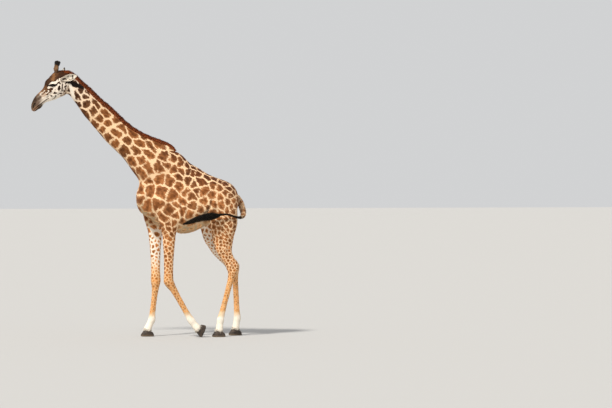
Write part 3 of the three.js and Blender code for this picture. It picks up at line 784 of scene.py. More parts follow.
# The body: the colour between the patches, and the patches' own.
ground = np.tile(CREAM, (len(skin_points), 1))
patch = np.tile(BROWN, (len(skin_points), 1))
paint(patch, on_neck * smoothstep(0.0, 0.25, up_neck), NECK_BROWN)
paint(patch, on_neck * smoothstep(0.55, 0.95, up_neck) * 0.85, SPOT)
paint(ground, on_neck * smoothstep(0.6, 0.95, up_neck) * 0.6, CHEEK)
facing_up = skin_normals[:, 2] + 0.15 * skin_noise(0.08, 57)
paint(patch, on_trunk * smoothstep(0.10, 0.62, facing_up) * 0.9, DARK_BROWN)
paint(patch, on_legs * smoothstep(1.65, 1.25, body_z) * 0.85, DEEP_ORANGE)
paint(patch, on_legs * smoothstep(1.05, 0.75, body_z), ORANGE)
# painted shade: the underside and breast take a duller cream, the coat's own paler tone darkened for the
# shade under the body, and the belly gets more painted shade
paint(ground, np.clip(under + breast, 0, 1) * 0.8, PALE_IN_SHADE)
paint(ground, under * 0.4, BELLY_SHADE)
paint(ground, on_legs * smoothstep(1.10, 0.75, body_z), LEG_GROUND)
paint(ground, inner_leg * smoothstep(0.9, 1.2, body_z), WHITE)
paint(patch, inner_leg * 0.45, ORANGE)
paint(patch, under * 0.55, LEG_GROUND)
tail_root_away = np.linalg.norm((rel - [0, 0.89, 1.99]) / [0.048, 0.07, 0.055], axis=1)
marking -= 0.06 * smoothstep(1.6, 0.7, tail_root_away + 0.5 * skin_noise(0.035, 54))
sock = on_legs * smoothstep(0.37, 0.25, body_z + 0.03 * skin_noise(0.05, 41))
paint(ground, sock, WHITE)
marking -= 0.05 * sock

# The top of the head is brown, from the nape to the nose, and the feet of the horns stand in it.
paint(ground, on_head, CHEEK)
paint(patch, on_head, SPOT)
crown_up = skin_normals @ CROWN
blur = skin_noise(0.03, 43)
mottled = smoothstep(-0.45, 0.25, skin_noise(0.020, 52) + 0.5 * skin_noise(0.008, 53))
nape = smoothstep(0.0, -0.09, head_t)
on_top = smoothstep(0.22 - 0.42 * nape, 0.62 - 0.42 * nape, crown_up + 0.10 * blur)
horn_foot = np.stack([(off_middle - 0.045) / 0.06, (head_t + 0.055) / 0.065, (head_s - 0.145) / 0.05])
horn_foot = smoothstep(1.5, 1.0, np.linalg.norm(horn_foot, axis=0))
high_up = 0.100 + 0.40 * np.minimum(head_t + 0.03, 0)
on_top = np.maximum(np.maximum(on_top, horn_foot), smoothstep(high_up, high_up + 0.014, head_s))
broken = head_t + 0.035 * skin_noise(0.045, 55) + 0.012 * skin_noise(0.011, 56)
forehead = on_head * on_top * smoothstep(-0.24, -0.16, head_t) * smoothstep(0.34, 0.27, broken)
marking += 0.05 * forehead - 0.012 * on_head
paint(patch, forehead, FACE_BROWN)
paint(patch, forehead * smoothstep(-0.06, -0.14, head_t + 0.02 * blur), CHESTNUT)
# A paler wedge runs from the foot of each horn to the brow, and the bones of the nose are pale as well.
wedge_away, wedge_along = side_line(skin_points, [[-0.045, 0.175], [0.010, 0.140], [0.062, 0.104]])
wedge = bell(wedge_away / (0.036 - 0.010 * wedge_along)) * smoothstep(0.012, 0.030, off_middle)
paint(patch, forehead * np.clip(wedge * 1.3, 0, 1) * (0.45 + 0.5 * mottled), FACE_TAN)
paint(patch, forehead * mottled * smoothstep(0.02, 0.10, head_t) * 0.16, FACE_TAN)
front_edge = forehead * smoothstep(0.05, 0.09, head_t) * smoothstep(0.26, 0.20, broken)
paint(patch, front_edge * (1 - wedge) * 0.45, SPOT)
paint(patch, forehead * smoothstep(-0.02, -0.07, head_t) * (1 - mottled) * 0.6, SPOT)
paint(patch, forehead * smoothstep(0.18, 0.30, head_t + 0.05 * blur) * (0.35 + 0.65 * mottled), FACE_TAN)
bridge = on_head * smoothstep(0.02, 0.46, crown_up + 0.12 * blur) * smoothstep(0.22, 0.29, head_t)
marking -= 0.05 * smoothstep(0.26, 0.34, head_t) * on_head
paint(ground, bridge * 0.95, NOSE_TAN)
paint(ground, bridge * mottled * 0.30, NOSE_PALE)

CHEEK_SPOTS = [  # toward the muzzle, above, half length, half width, and lean in degrees
    (0.085, -0.035, 0.036, 0.025, 133), (0.171, -0.052, 0.029, 0.018, 20),
    (0.241, -0.043, 0.017, 0.011, 60), (0.285, -0.022, 0.012, 0.008, 0),
    (0.231, -0.094, 0.027, 0.008, -6), (0.049, -0.066, 0.048, 0.011, 133),
    (-0.004, -0.083, 0.017, 0.013, 133), (0.026, -0.118, 0.026, 0.011, 108),
    (-0.008, -0.150, 0.046, 0.013, 140), (0.122, -0.108, 0.022, 0.013, 10),
    (0.091, -0.143, 0.022, 0.010, 5), (0.056, -0.165, 0.018, 0.011, 40),
    (0.010, 0.050, 0.011, 0.008, 0), (-0.014, 0.004, 0.020, 0.008, 133),
    (0.030, 0.000, 0.024, 0.009, 125), (0.016, -0.035, 0.024, 0.009, 112),
    (-0.040, -0.050, 0.028, 0.010, 152), (0.195, -0.088, 0.012, 0.007, 20),
    (0.140, -0.012, 0.013, 0.007, 30), (0.262, 0.006, 0.013, 0.007, 30),
    (0.306, 0.050, 0.019, 0.009, 35), (0.205, -0.004, 0.011, 0.006, 10),
    (0.240, 0.040, 0.020, 0.008, 40), (0.155, -0.100, 0.011, 0.007, 20),
    (0.060, -0.112, 0.019, 0.010, 95), (0.096, -0.088, 0.015, 0.009, 40),
    (0.012, -0.080, 0.020, 0.010, 165), (0.130, -0.136, 0.016, 0.008, 15),
    (-0.030, -0.115, 0.018, 0.009, 130), (0.110, -0.065, 0.012, 0.007, 45),
]
on_side = on_head * smoothstep(0.15, 0.45, np.abs(skin_normals[:, 0]))
wander = [0.010 * skin_noise(0.026, seed) + 0.004 * skin_noise(0.009, seed + 20) for seed in (47, 48)]
for toward, above, half_long, half_wide, lean in CHEEK_SPOTS:
    t, s = head_t - toward + wander[0], head_s - above + wander[1]
    ahead, over = math.cos(math.radians(lean)), math.sin(math.radians(lean))
    spot = (1 - np.hypot((t * ahead + s * over) / half_long, (s * ahead - t * over) / half_wide)) * half_wide
    marking = np.maximum(marking, np.where(on_side > 0.4, spot, -1))

# The muzzle: dusky round the nostrils, darkest over the nose, with paler lips and a white jaw.
dusky = 0.25 * (head_s - 0.02) + 0.02 * skin_noise(0.03, 44)
muzzle = on_head * smoothstep(0.33, 0.43, head_t - dusky)
muzzle *= 1 - 0.75 * smoothstep(0.005, -0.022, head_s) * smoothstep(0.47, 0.40, head_t)
paint(ground, muzzle * 0.95, MUZZLE)
dark_top = smoothstep(0.30, 0.39, head_t + 0.05 * blur) * smoothstep(0.52, 0.47, head_t)
dark_top *= on_head * smoothstep(0.02, 0.06, head_s + 0.02 * blur)
paint(ground, dark_top * (0.7 + 0.3 * mottled), NOSE_DARK)
grey_lip = muzzle * bell((head_s - 0.012 - 0.01 * blur) / 0.022) * smoothstep(0.50, 0.44, head_t)
paint(ground, grey_lip * 0.55, LIP_GREY)
under_lip = on_head * smoothstep(-0.030, -0.042, head_s) * smoothstep(0.38, 0.42, head_t + 0.02 * blur)
paint(ground, under_lip * 0.85, CHIN_BROWN)
mouth_away, mouth_along = side_line(skin_points, MOUTH_LINE)
lip_front = on_head * bell(mouth_away / 0.015) * smoothstep(0.44, 0.53, head_t)
paint(ground, lip_front, LIP)
jaw = on_head * smoothstep(-0.050, -0.072, head_s) * window(head_t, 0.12, 0.2, 0.36, 0.43)
paint(ground, jaw * (1 - under_lip), WHITE)
paint(ground, on_head * bell(mouth_away / 0.0055) * smoothstep(1, 0.93, mouth_along), MOUTH_DARK)
nostril_away, _ = side_line(skin_points, NOSTRIL_LINE)
nostril_side = smoothstep(0.015, 0.028, off_middle) * smoothstep(0.42, 0.46, head_t)
nostril = on_head * bell(nostril_away / 0.0075) * nostril_side
paint(ground, nostril, INK)

# The eyes: a white brow over each, and a dark stripe through it from corner to corner, partly the lids' own
# dark skin and partly painted shade under the brow.
ragged = 0.005 * skin_noise(0.012, 46)
for hand in SIDES.values():
    out, front, up = eye_axes(hand)
    offset = skin_points - EYE[hand]
    u, v, depth = offset @ front, offset @ up, offset @ out
    outside = smoothstep(-0.05, -0.03, depth) * on_head
    brow = outside * smoothstep(1.15, 0.85, np.hypot((u + 0.016) / 0.046, (v - 0.035 + ragged) / 0.014))
    marking -= 0.06 * brow
    paint(ground, brow, WHITE)
    # the dark stripe: dark lid skin widened with painted shade under the brow
    eye_shade_stripe = (1 - np.hypot(u / 0.066, (v - 0.08 * u + ragged) / 0.020)) * 0.019
    marking = np.maximum(marking, np.where(outside > 0.5, eye_shade_stripe, -1))
    paint(patch, outside * smoothstep(-0.006, -0.002, eye_shade_stripe), INK)
    paint(ground, outside * smoothstep(0.0005, 0.002, eye_shade_stripe), INK)

# Behind the ear a dusky streak runs down, a dark patch with the ear's shadow painted into it, then the dark
# strip of the nape, then a white band across the neck.
BEHIND_EAR = [[-0.092, -0.058], [-0.118, -0.145], [-0.150, -0.205], [-0.172, -0.262]]
NECK_BAND = [[-0.066, -0.112], [-0.014, -0.218], [0.027, -0.291], [0.068, -0.336]]
ear_away, ear_along = side_line(skin_points, BEHIND_EAR)
behind_ear = bell(ear_away / (0.040 - 0.012 * ear_along) * (1 + 0.3 * blur))
behind_ear *= smoothstep(0.2, 0.5, np.abs(skin_normals[:, 0]))
# painted shadow: the ear's shadow, dark grey over the first patch of the neck
ear_shadow_streak = smoothstep(0.25, 0.6, behind_ear)
marking += 0.06 * behind_ear * ear_shadow_streak
paint(patch, ear_shadow_streak * (0.75 + 0.25 * mottled), EAR_SHADOW_SMOKE)
marking += 0.03 * on_head * nape * smoothstep(0.075, 0.050, off_middle)
band = bell(side_line(skin_points, NECK_BAND)[0] / 0.024) * (on_head + on_neck)
marking -= 0.05 * smoothstep(0.35, 0.7, band)
paint(ground, np.clip(band, 0, 1), WHITE)

ground *= (1 + 0.05 * skin_noise(0.09, 51))[:, None]
marking /= np.clip(pitch / 0.13, 0.3, 1.1)  # so that small patches have finer edges

# ---------------------------------------------------------------- the coat's lie, and the skin's unwrap


def along_and_around(points, name):
    """Metres along a part, the angle round its middle line from its under or inner side, and its radius."""
    axis = PART_AXES[name]
    line = body_line[name]
    along = points @ axis
    rel = points - np.stack(read_off(np.column_stack([line @ axis, line]), along), axis=1)
    side = np.array([1.0, 0, 0])
    upright = unit(np.cross(axis, side))
    radius = np.linalg.norm(rel - (rel @ axis)[:, None] * axis, axis=1)
    return along, np.arctan2(rel @ side, rel @ upright), radius


main_part = np.argmax(np.stack([part_share[name] for name in PART_NAMES]), axis=0)
LIE_OF_PART = {"head": -FACE - 0.15 * CROWN, "neck": unit(-NECK_AXIS + np.array([0, 0.35, -0.2])),
               "trunk": np.array([0, 0.88, -0.48]), **{leg: np.array([0, 0.10, -1.0]) for leg in LEG_NODES}}
lie = sum(part_share[name][:, None] * unit(LIE_OF_PART[name]) for name in PART_NAMES)
lie += 0.16 * noise_vector(skin_points, 0.13, 61)
lie = unit(lie - np.sum(lie * skin_normals, axis=1, keepdims=True) * skin_normals)

# Each part's unwrap has its own rectangle: left, bottom, width, height.
UNWRAP = {"trunk": (0, 0, 0.5, 0.5), "neck": (0.5, 0, 0.5, 0.5), "head": (0, 0.5, 0.36, 0.5)}
UNWRAP.update({leg: (0.36 + 0.16 * i, 0.5, 0.16, 0.5) for i, leg in enumerate(LEG_NODES)})
UNWRAP_MARGIN = 0.004
strand = np.zeros((len(skin_points), 3))
unwrap = np.zeros((len(skin_points), 2))
for index, name in enumerate(PART_NAMES):
    mine = main_part == index
    along, angle, radius = along_and_around(skin_points[mine], name)
    strand[mine] = np.stack([along, angle * np.median(radius), np.full(mine.sum(), index * 3.0)], axis=1)
    left, bottom, wide, tall = UNWRAP[name]
    place = np.stack([angle / (2 * math.pi) + 0.5, (along - along.min()) / np.ptp(along)], axis=1)
    room = np.array([wide, tall]) - 2 * UNWRAP_MARGIN
    unwrap[mine] = np.array([left, bottom]) + UNWRAP_MARGIN + place * room

# What the hide material reads: two colours, the marking with its tint and the place along a tuft, and grain.
tuft_fields = {
    "ground": ground,
    "patch": patch,
    "marking": np.stack([marking, patch_tint, np.full(len(skin_points), 0.5)], axis=1),
    "spot": skin_points,
}
for name, values in {**tuft_fields, "strand": strand}.items():
    set_attribute(skin_mesh, name, values)

# ---------------------------------------------------------------- materials


class Material:
    """A principled material, its nodes made one call each."""

    def __init__(self, name, roughness=0.6, **constants):
        self.data = bpy.data.materials.new(name)
        self.data.use_nodes = True
        self.tree = self.data.node_tree
        self.shader = self.tree.nodes["Principled BSDF"]
        self.shader.inputs["Roughness"].default_value = roughness
        for socket, value in constants.items():
            self.shader.inputs[socket.replace("_", " ")].default_value = value

    def node(self, kind, inputs, **settings):
        made = self.tree.nodes.new(kind)
        for key, value in settings.items():
            setattr(made, key, value)
        for key, value in inputs.items():
            if isinstance(value, bpy.types.NodeSocket):
                self.tree.links.new(value, made.inputs[key])
            else:
                made.inputs[key].default_value = value
        return made

    def attribute(self, name, output="Vector"):
        return self.node("ShaderNodeAttribute", {}, attribute_name=name).outputs[output]

    def parts(self, vector):
        return self.node("ShaderNodeSeparateXYZ", {0: vector}).outputs

    def position(self):
        return self.node("ShaderNodeTexCoord", {}).outputs["Object"]

    def stretched(self, vector, scale):
        return self.node("ShaderNodeVectorMath", {0: vector, 1: scale}, operation="MULTIPLY").outputs[0]

    def noise(self, vector, scale, detail=2.0, rough=0.5):
        settings = {"Vector": vector, "Scale": scale, "Detail": detail, "Roughness": rough}
        return self.node("ShaderNodeTexNoise", settings).outputs["Fac"]

    def math(self, operation, a, b=0.0, c=0.0):
        return self.node("ShaderNodeMath", {0: a, 1: b, 2: c}, operation=operation).outputs[0]

    def times(self, first, *others):
        """The product of two or more numbers or sockets."""
        for other in others:
            first = self.math("MULTIPLY", first, other)
        return first

    def ramp(self, value, low, high, out_low=0.0, out_high=1.0):
        settings = {"Value": value, "From Min": low, "From Max": high, "To Min": out_low, "To Max": out_high}
        return self.node("ShaderNodeMapRange", settings, interpolation_type="SMOOTHSTEP").outputs[0]

    def mix(self, share, a, b, blend="MIX"):
        a, b = (v if isinstance(v, bpy.types.NodeSocket) else (*v, 1) for v in (a, b))
        made = self.node("ShaderNodeMix", {0: share, 6: a, 7: b}, data_type="RGBA", blend_type=blend)
        return made.outputs[2]

    def brighter(self, colour, factor):
        return self.node("ShaderNodeVectorMath", {0: colour, "Scale": factor}, operation="SCALE").outputs[0]

    def colour(self, socket):
        self.tree.links.new(socket, self.shader.inputs["Base Color"])

    def roughness(self, socket):
        self.tree.links.new(socket, self.shader.inputs["Roughness"])

    def bump(self, height, strength, distance):
        made = self.node("ShaderNodeBump", {"Height": height, "Strength": strength, "Distance": distance})
        self.tree.links.new(made.outputs[0], self.shader.inputs["Normal"])


def hide_material():
    """The coat: brown patches with ragged rims and darker middles on a pale ground, streaked by its hairs."""
    m = Material("hide", 0.7, Sheen_Weight=0.03, Sheen_Roughness=0.5, Specular_IOR_Level=0.12)
    spot = m.attribute("spot")
    marking, tint, along = m.parts(m.attribute("marking"))[:3]
    ragged = m.math("MULTIPLY_ADD", m.noise(spot, 36.0, 4.0, 0.7), 0.034, -0.017)
    notches = m.ramp(m.noise(spot, 19.0, 2.0), 0.60, 0.72, 0.0, 0.012)
    reach = m.math("SUBTRACT", m.math("ADD", marking, ragged), notches)
    rim = m.ramp(reach, 0.000, 0.034, 1.50, 0.98)
    mottle = m.ramp(m.noise(spot, 24.0, 5.0, 0.75), 0.32, 0.68, 0.66, 1.24)
    core = m.mix(m.ramp(reach, 0.006, 0.034), m.attribute("patch"), (0.72, 0.60, 0.44), "MULTIPLY")
    brown = m.brighter(core, m.times(rim, mottle, m.math("MULTIPLY_ADD", tint, 0.46, 0.80)))
    pale = m.brighter(m.attribute("ground"), m.ramp(m.noise(spot, 14.0, 4.0, 0.6), 0.3, 0.7, 0.93, 1.05))
    coat = m.mix(m.ramp(reach, -0.0022, 0.0030), pale, brown)
    hairs = m.noise(m.stretched(m.attribute("strand"), (60.0, 520.0, 1.0)), 1.0, 3.0, 0.6)
    streaks = m.times(m.ramp(hairs, 0.25, 0.75, 0.90, 1.08), m.ramp(along, 0.0, 1.0, 0.90, 1.10))
    m.colour(m.brighter(coat, streaks))
    m.roughness(m.ramp(hairs, 0.2, 0.8, 0.60, 0.78))
    m.bump(hairs, 0.2, 0.0015)
    return m.data


HIDE = hide_material()
skin_mesh.materials.clear()
skin_mesh.materials.append(HIDE)

# ---------------------------------------------------------------- tufts and locks

LOCK_ON_UNWRAP = 0.003  # the side of the square that each lock takes on the unwrap
FOUR_RINGS = np.linspace(0, 1, 4)
HAIRS = {"ear": 5200, "ear_rim": 520, "horn_cap": 1200, "horn_stem": 3000, "mane": 10500,
         "dock": 6400, "switch": 2300, "coronet": 1900}


def grown(base, *terms):
    """The middle lines of locks: each root, moved along each direction by so much at each ring (n, k)."""
    rings = base[:, None]
    for direction, amount in terms:
        rings = rings + np.atleast_2d(direction)[:, None] * amount[..., None]
    return rings


def strands(name, rings, wide, flatness, across, fields, home, material, slot, replaces=(), lit_as=None):
    """Three-sided tapering locks in one mesh.

    rings (n, k, 3): the middle line of each lock; wide (n, k) or (k,): its half width at each ring;
    flatness: its height as a share of that; across (n, 3) or (3,): the direction of its width;
    home (n, 2): its root's place on the unwrap;
    lit_as (n, 3): the way the surface under a short tuft faces, which its shading mostly follows.
    """
    n, k = rings.shape[:2]
    wide = np.broadcast_to(wide, (n, k))
    thick = wide * flatness
    tangent = unit(np.gradient(rings, axis=1))
    over = unit(np.cross(tangent, np.broadcast_to(across[..., None, :], rings.shape)))
    across = unit(np.cross(over, tangent))
    corners = np.stack([
        rings + across * wide[..., None] - over * thick[..., None] * 0.3,
        rings - across * wide[..., None] - over * thick[..., None] * 0.3,
        rings + over * thick[..., None] * 0.7,
    ], axis=2)[:, :-1]
    points = np.concatenate([corners.reshape(n, -1, 3), rings[:, -1:]], axis=1)
    per = points.shape[1]
    faces = [[0, 1, 2]]
    for a in range(0, 3 * (k - 2), 3):
        for i, j in ((0, 1), (1, 2), (2, 0)):
            faces += [[a + i, a + 3 + j, a + j], [a + i, a + 3 + i, a + 3 + j]]
    a = (k - 2) * 3
    faces += [[a, per - 1, a + 1], [a + 1, per - 1, a + 2], [a + 2, per - 1, a]]
    faces = (np.array(faces)[None] + (np.arange(n) * per)[:, None, None]).reshape(-1, 3)
    mesh = mesh_from(name, points.reshape(-1, 3), faces)
    ring_of = np.append(np.repeat(np.arange(k - 1), 3), k - 1)
    along = ring_of / (k - 1)
    for field, values in fields.items():
        spread = np.repeat(values[:, None], per, axis=1)
        if field == "marking":
            spread[..., 2] = along
        set_attribute(mesh, field, spread.reshape(-1, values.shape[1]))
    corner = np.append(np.tile([0.0, 1.0, 0.5], k - 1), 0.5)
    square = np.stack([corner - 0.5, along - 0.5], axis=1) * LOCK_ON_UNWRAP
    uv = (home[:, None] + square[None]).reshape(-1, 2)
    layer = mesh.uv_layers.new(name="OFBake")
    layer.data.foreach_set("uv", uv[faces.ravel()].astype(np.float32).ravel())
    mesh.materials.append(material)
    if lit_as is not None:
        outward = np.tile([[0.5, 0.0], [-0.5, 0.0], [0.0, 0.5]], (k - 1, 1))
        outward = np.concatenate([outward, [[0.0, 0.3]]])
        facing = across[:, ring_of] * outward[None, :, :1] + over[:, ring_of] * outward[None, :, 1:]
        mesh.normals_split_custom_set_from_vertices(unit(facing + lit_as[:, None]).reshape(-1, 3).tolist())
    return new_object(name, mesh, slot, replaces)


def scattered(count_per_metre, allowed, total=None):
    """Random places on the skin, so many to a square metre or in all: triangles and barycentric shares."""
    a, b, c = (skin_points[skin_triangles[:, k]] for k in range(3))
    area = np.linalg.norm(np.cross(b - a, c - a), axis=1) / 2
    wanted = area * count_per_metre[skin_triangles].mean(1) * allowed[skin_triangles].min(1)
    total = total or int(wanted.sum())
    chosen = rng.choice(len(wanted), size=total, p=wanted / wanted.sum())
    u, v = rng.random(total), rng.random(total)
    flip = u + v > 1
    u[flip], v[flip] = 1 - u[flip], 1 - v[flip]
    return chosen, np.stack([1 - u - v, u, v], axis=1)


def on_skin(values, places):
    chosen, shares = places
    corners = values[skin_triangles[chosen]]
    if values.ndim == 1:
        return np.sum(corners * shares, axis=1)
    return np.sum(corners * shares[..., None], axis=1)


# How long the tufts are, how many a square metre has, and where any grow: not on lids, nostrils and lips.
tuft_length = zone_blend(
    0.017 + 0.008 * (under + breast).clip(0, 1),
    0.016,
    by_height((0.2, 0.010), (0.8, 0.011), (1.5, 0.015)),
    0.0075 + 0.004 * smoothstep(0.25, -0.05, head_t),
)
thinner = 1
density = zone_blend(25000, 30000, by_height((0.2, 36000), (0.9, 33000), (1.5, 22000)), 70000) * thinner
away_from_eyes = np.min([np.linalg.norm(skin_points - EYE[hand], axis=1) for hand in EYE], axis=0)
hairy = smoothstep(0.027, 0.033, away_from_eyes) * (1 - nostril) * (1 - lip_front)
hairy = hairy * (1 - smoothstep(0.5, 0.9, bell(mouth_away / 0.006) * on_head))


def coat_piece(name, share):
    """Short tufts that lie along the body and overlap, on one part of it."""
    places = scattered(density, np.where(share, hairy, 0))
    root, normal = on_skin(skin_points, places), unit(on_skin(skin_normals, places))
    n = len(root)
    across = unit(np.cross(normal, on_skin(lie, places)))
    along = unit(np.cross(across, normal) + across * rng.normal(0, 0.22, (n, 1)))
    length = (on_skin(tuft_length, places) * rng.uniform(0.7, 1.25, n))[:, None]
    stand = rng.uniform(0.08, 0.20, (n, 1))
    steps = np.array([0.0, 1.0])
    rings = grown(
        root,
        (normal, -0.055 * length * [1, 1]),
        (along, length * steps),
        (normal, length * stand * np.sin(steps * 2.2)),
        (across, rng.normal(0, 0.10, (n, 1)) * length * steps**2),
    )
    wide = length * rng.uniform(0.075, 0.115, (n, 1)) * [1.0, 0.8]
    fields = {key: on_skin(values, places) for key, values in tuft_fields.items()}
    corner = skin_triangles[places[0], np.argmax(places[1], axis=1)]
    fields["marking"][:, 1] = patch_tint[corner]
    shade = rng.uniform(0.93, 1.07, (n, 1))
    for key in ("ground", "patch"):
        fields[key] = fields[key] * shade
    strands(name, rings, wide, 0.45, across, fields, unwrap[corner], HIDE, "hide", lit_as=normal)


def in_parts(*names):
    return np.isin(main_part, [PART_NAMES.index(name) for name in names])


left_side = head_x > 0
coat_piece("coat_head", in_parts("head"))
coat_piece("coat_neck", in_parts("neck"))
coat_piece("coat_trunk_left", in_parts("trunk") & left_side)
coat_piece("coat_trunk_right", in_parts("trunk") & ~left_side)
coat_piece("coat_forelegs", in_parts("foreleg_left", "foreleg_right"))
coat_piece("coat_hindlegs", in_parts("hindleg_left", "hindleg_right"))


def coronet_piece(leg, count):
    """Hair that falls from the foot over the top of its two claws."""
    claws = np.concatenate([points_of(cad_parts[f"{leg}_hoof_{claw}"].data) for claw in CLAWS])
    tree = KDTree(len(claws))
    for k, point in enumerate(claws):
        tree.insert(point, k)
    tree.balance()
    mine = np.flatnonzero(in_parts(leg) & (height < 0.5))
    rim = np.zeros(len(skin_points))
    rim[mine] = [tree.find(p)[2] < 0.034 for p in skin_points[mine]]
    places = scattered(np.ones(len(skin_points)), rim, count)
    root, normal = on_skin(skin_points, places), unit(on_skin(skin_normals, places))
    down = unit(claws.mean(0) - sum(node_box(f"{leg}_pastern")) / 2)
    along = unit(down - normal * (normal @ down)[:, None] * 0.9 + rng.normal(0, 0.13, (count, 3)))
    length = rng.uniform(0.018, 0.042, (count, 1))
    rings = grown(root, (along, length * FOUR_RINGS), (normal, length * 0.22 * np.sin(FOUR_RINGS * 2.4)))
    wide = rng.uniform(0.0008, 0.0015, (count, 1)) * [0.8, 1.0, 0.7, 0]
    near = skin_triangles[places[0], 0]
    fields = {key: values[near] for key, values in tuft_fields.items()}
    fields["ground"] = fields["ground"] * rng.uniform(0.75, 1.02, (count, 1))
    name, across = f"{leg}_coronet_hair", np.cross(normal, along)
    strands(name, rings, wide, 0.5, across, fields, unwrap[near], HIDE, "hide", lit_as=normal)


# ---------------------------------------------------------------- tubes, ears and horns


def frames_along(path):
    """Two directions square to a path at each of its points, which turn as little as they can."""
    tangent = unit(np.gradient(path, axis=0))
    first = unit(np.cross(tangent[0], [0.31, 0.87, 0.4]))
    rows = []
    for direction in tangent:
        first = unit(first - direction * (first @ direction))
        rows.append(first)
    first = np.array(rows)
    return first, np.cross(tangent, first)


def tube_faces(stations, sides):
    """Triangles between rings, each ring's points in order, with a last point at each end to close it."""
    faces = []
    for i in range(stations - 1):
        for k in range(sides):
            a, b = i * sides + k, i * sides + (k + 1) % sides
            faces += [[a, b, b + sides], [a, b + sides, a + sides]]
    start, end, last = stations * sides, stations * sides + 1, (stations - 1) * sides
    for k in range(sides):
        faces += [[start, (k + 1) % sides, k], [end, last + k, last + (k + 1) % sides]]
    return np.array(faces)


def tube(path, front, back, sides):
    """The points and faces of a round tube: `front` and `back` are its reach along its first direction."""
    first, second = frames_along(path)
    angle = np.arange(sides) / sides * 2 * math.pi
    reach = np.where(np.cos(angle)[None] > 0, front[:, None], back[:, None])
    aside = ((front + back) / 2)[:, None]
    rings = (path[:, None] + first[:, None] * (reach * np.cos(angle))[..., None]
             + second[:, None] * (aside * np.sin(angle))[..., None])
    return np.concatenate([rings.reshape(-1, 3), path[:1], path[-1:]]), tube_faces(len(path), sides)


def hide_fields(points, ground_colour, patch_colour=None, edge=-0.05, grain=None):
    """What the hide material reads, for a piece that isn't part of the skin."""
    n = len(points)
    colours = np.broadcast_to(ground_colour, (n, 3))
    patches = colours * 0.5 if patch_colour is None else np.tile(patch_colour, (n, 1))
    marks = np.stack([np.broadcast_to(edge, n), np.full(n, 0.5), np.full(n, 0.5)], axis=1)
    fields = {"ground": colours, "patch": patches, "marking": marks, "spot": points}
    if grain is not None:
        fields["strand"] = np.stack([np.broadcast_to(values, n) for values in grain], axis=1)
    return fields


def hair_fields(base):
    """What a hair material reads: a random tone for each lock, and its root's place."""
    n = len(base)
    return {"marking": np.stack([np.zeros(n), rng.uniform(0, 1, n), np.zeros(n)], axis=1), "spot": base}


def spare_home(corner, n, way=(1, -1)):
    """Places by a corner of the unwrap, for locks whose colour doesn't come from the skin."""
    return np.array(corner) + rng.uniform(0, 0.05, (n, 2)) * way


def hide_piece(name, points, faces, fields, slot, replaces):
    mesh = mesh_from(name, points, faces)
    for field, values in fields.items():
        set_attribute(mesh, field, values)
    mesh.materials.append(HIDE)
    return new_object(name, mesh, slot, replaces)


EAR_LEAF = [  # share of the length, half thickness, half width, how far round the leaf its rims curl
    (-0.10, 0.020, 0.020, 2.6),
    (0.0, 0.026, 0.026, 2.3),
    (0.12, 0.027, 0.034, 2.0),
    (0.34, 0.026, 0.046, 1.72),
    (0.56, 0.022, 0.050, 1.58),
    (0.78, 0.015, 0.038, 1.45),
    (0.92, 0.009, 0.020, 1.30),
    (1.0, 0.003, 0.004, 1.20),
]
EAR_TIP_DARK = {"left": 0.25, "right": 0.9}
EAR_HOLLOW = {"left": (0.93, -0.30, -0.20), "right": (-0.50, -0.85, 0.10)}  # the way each cup opens
EAR_BEND = 0.012
EAR_WALL = 0.0045


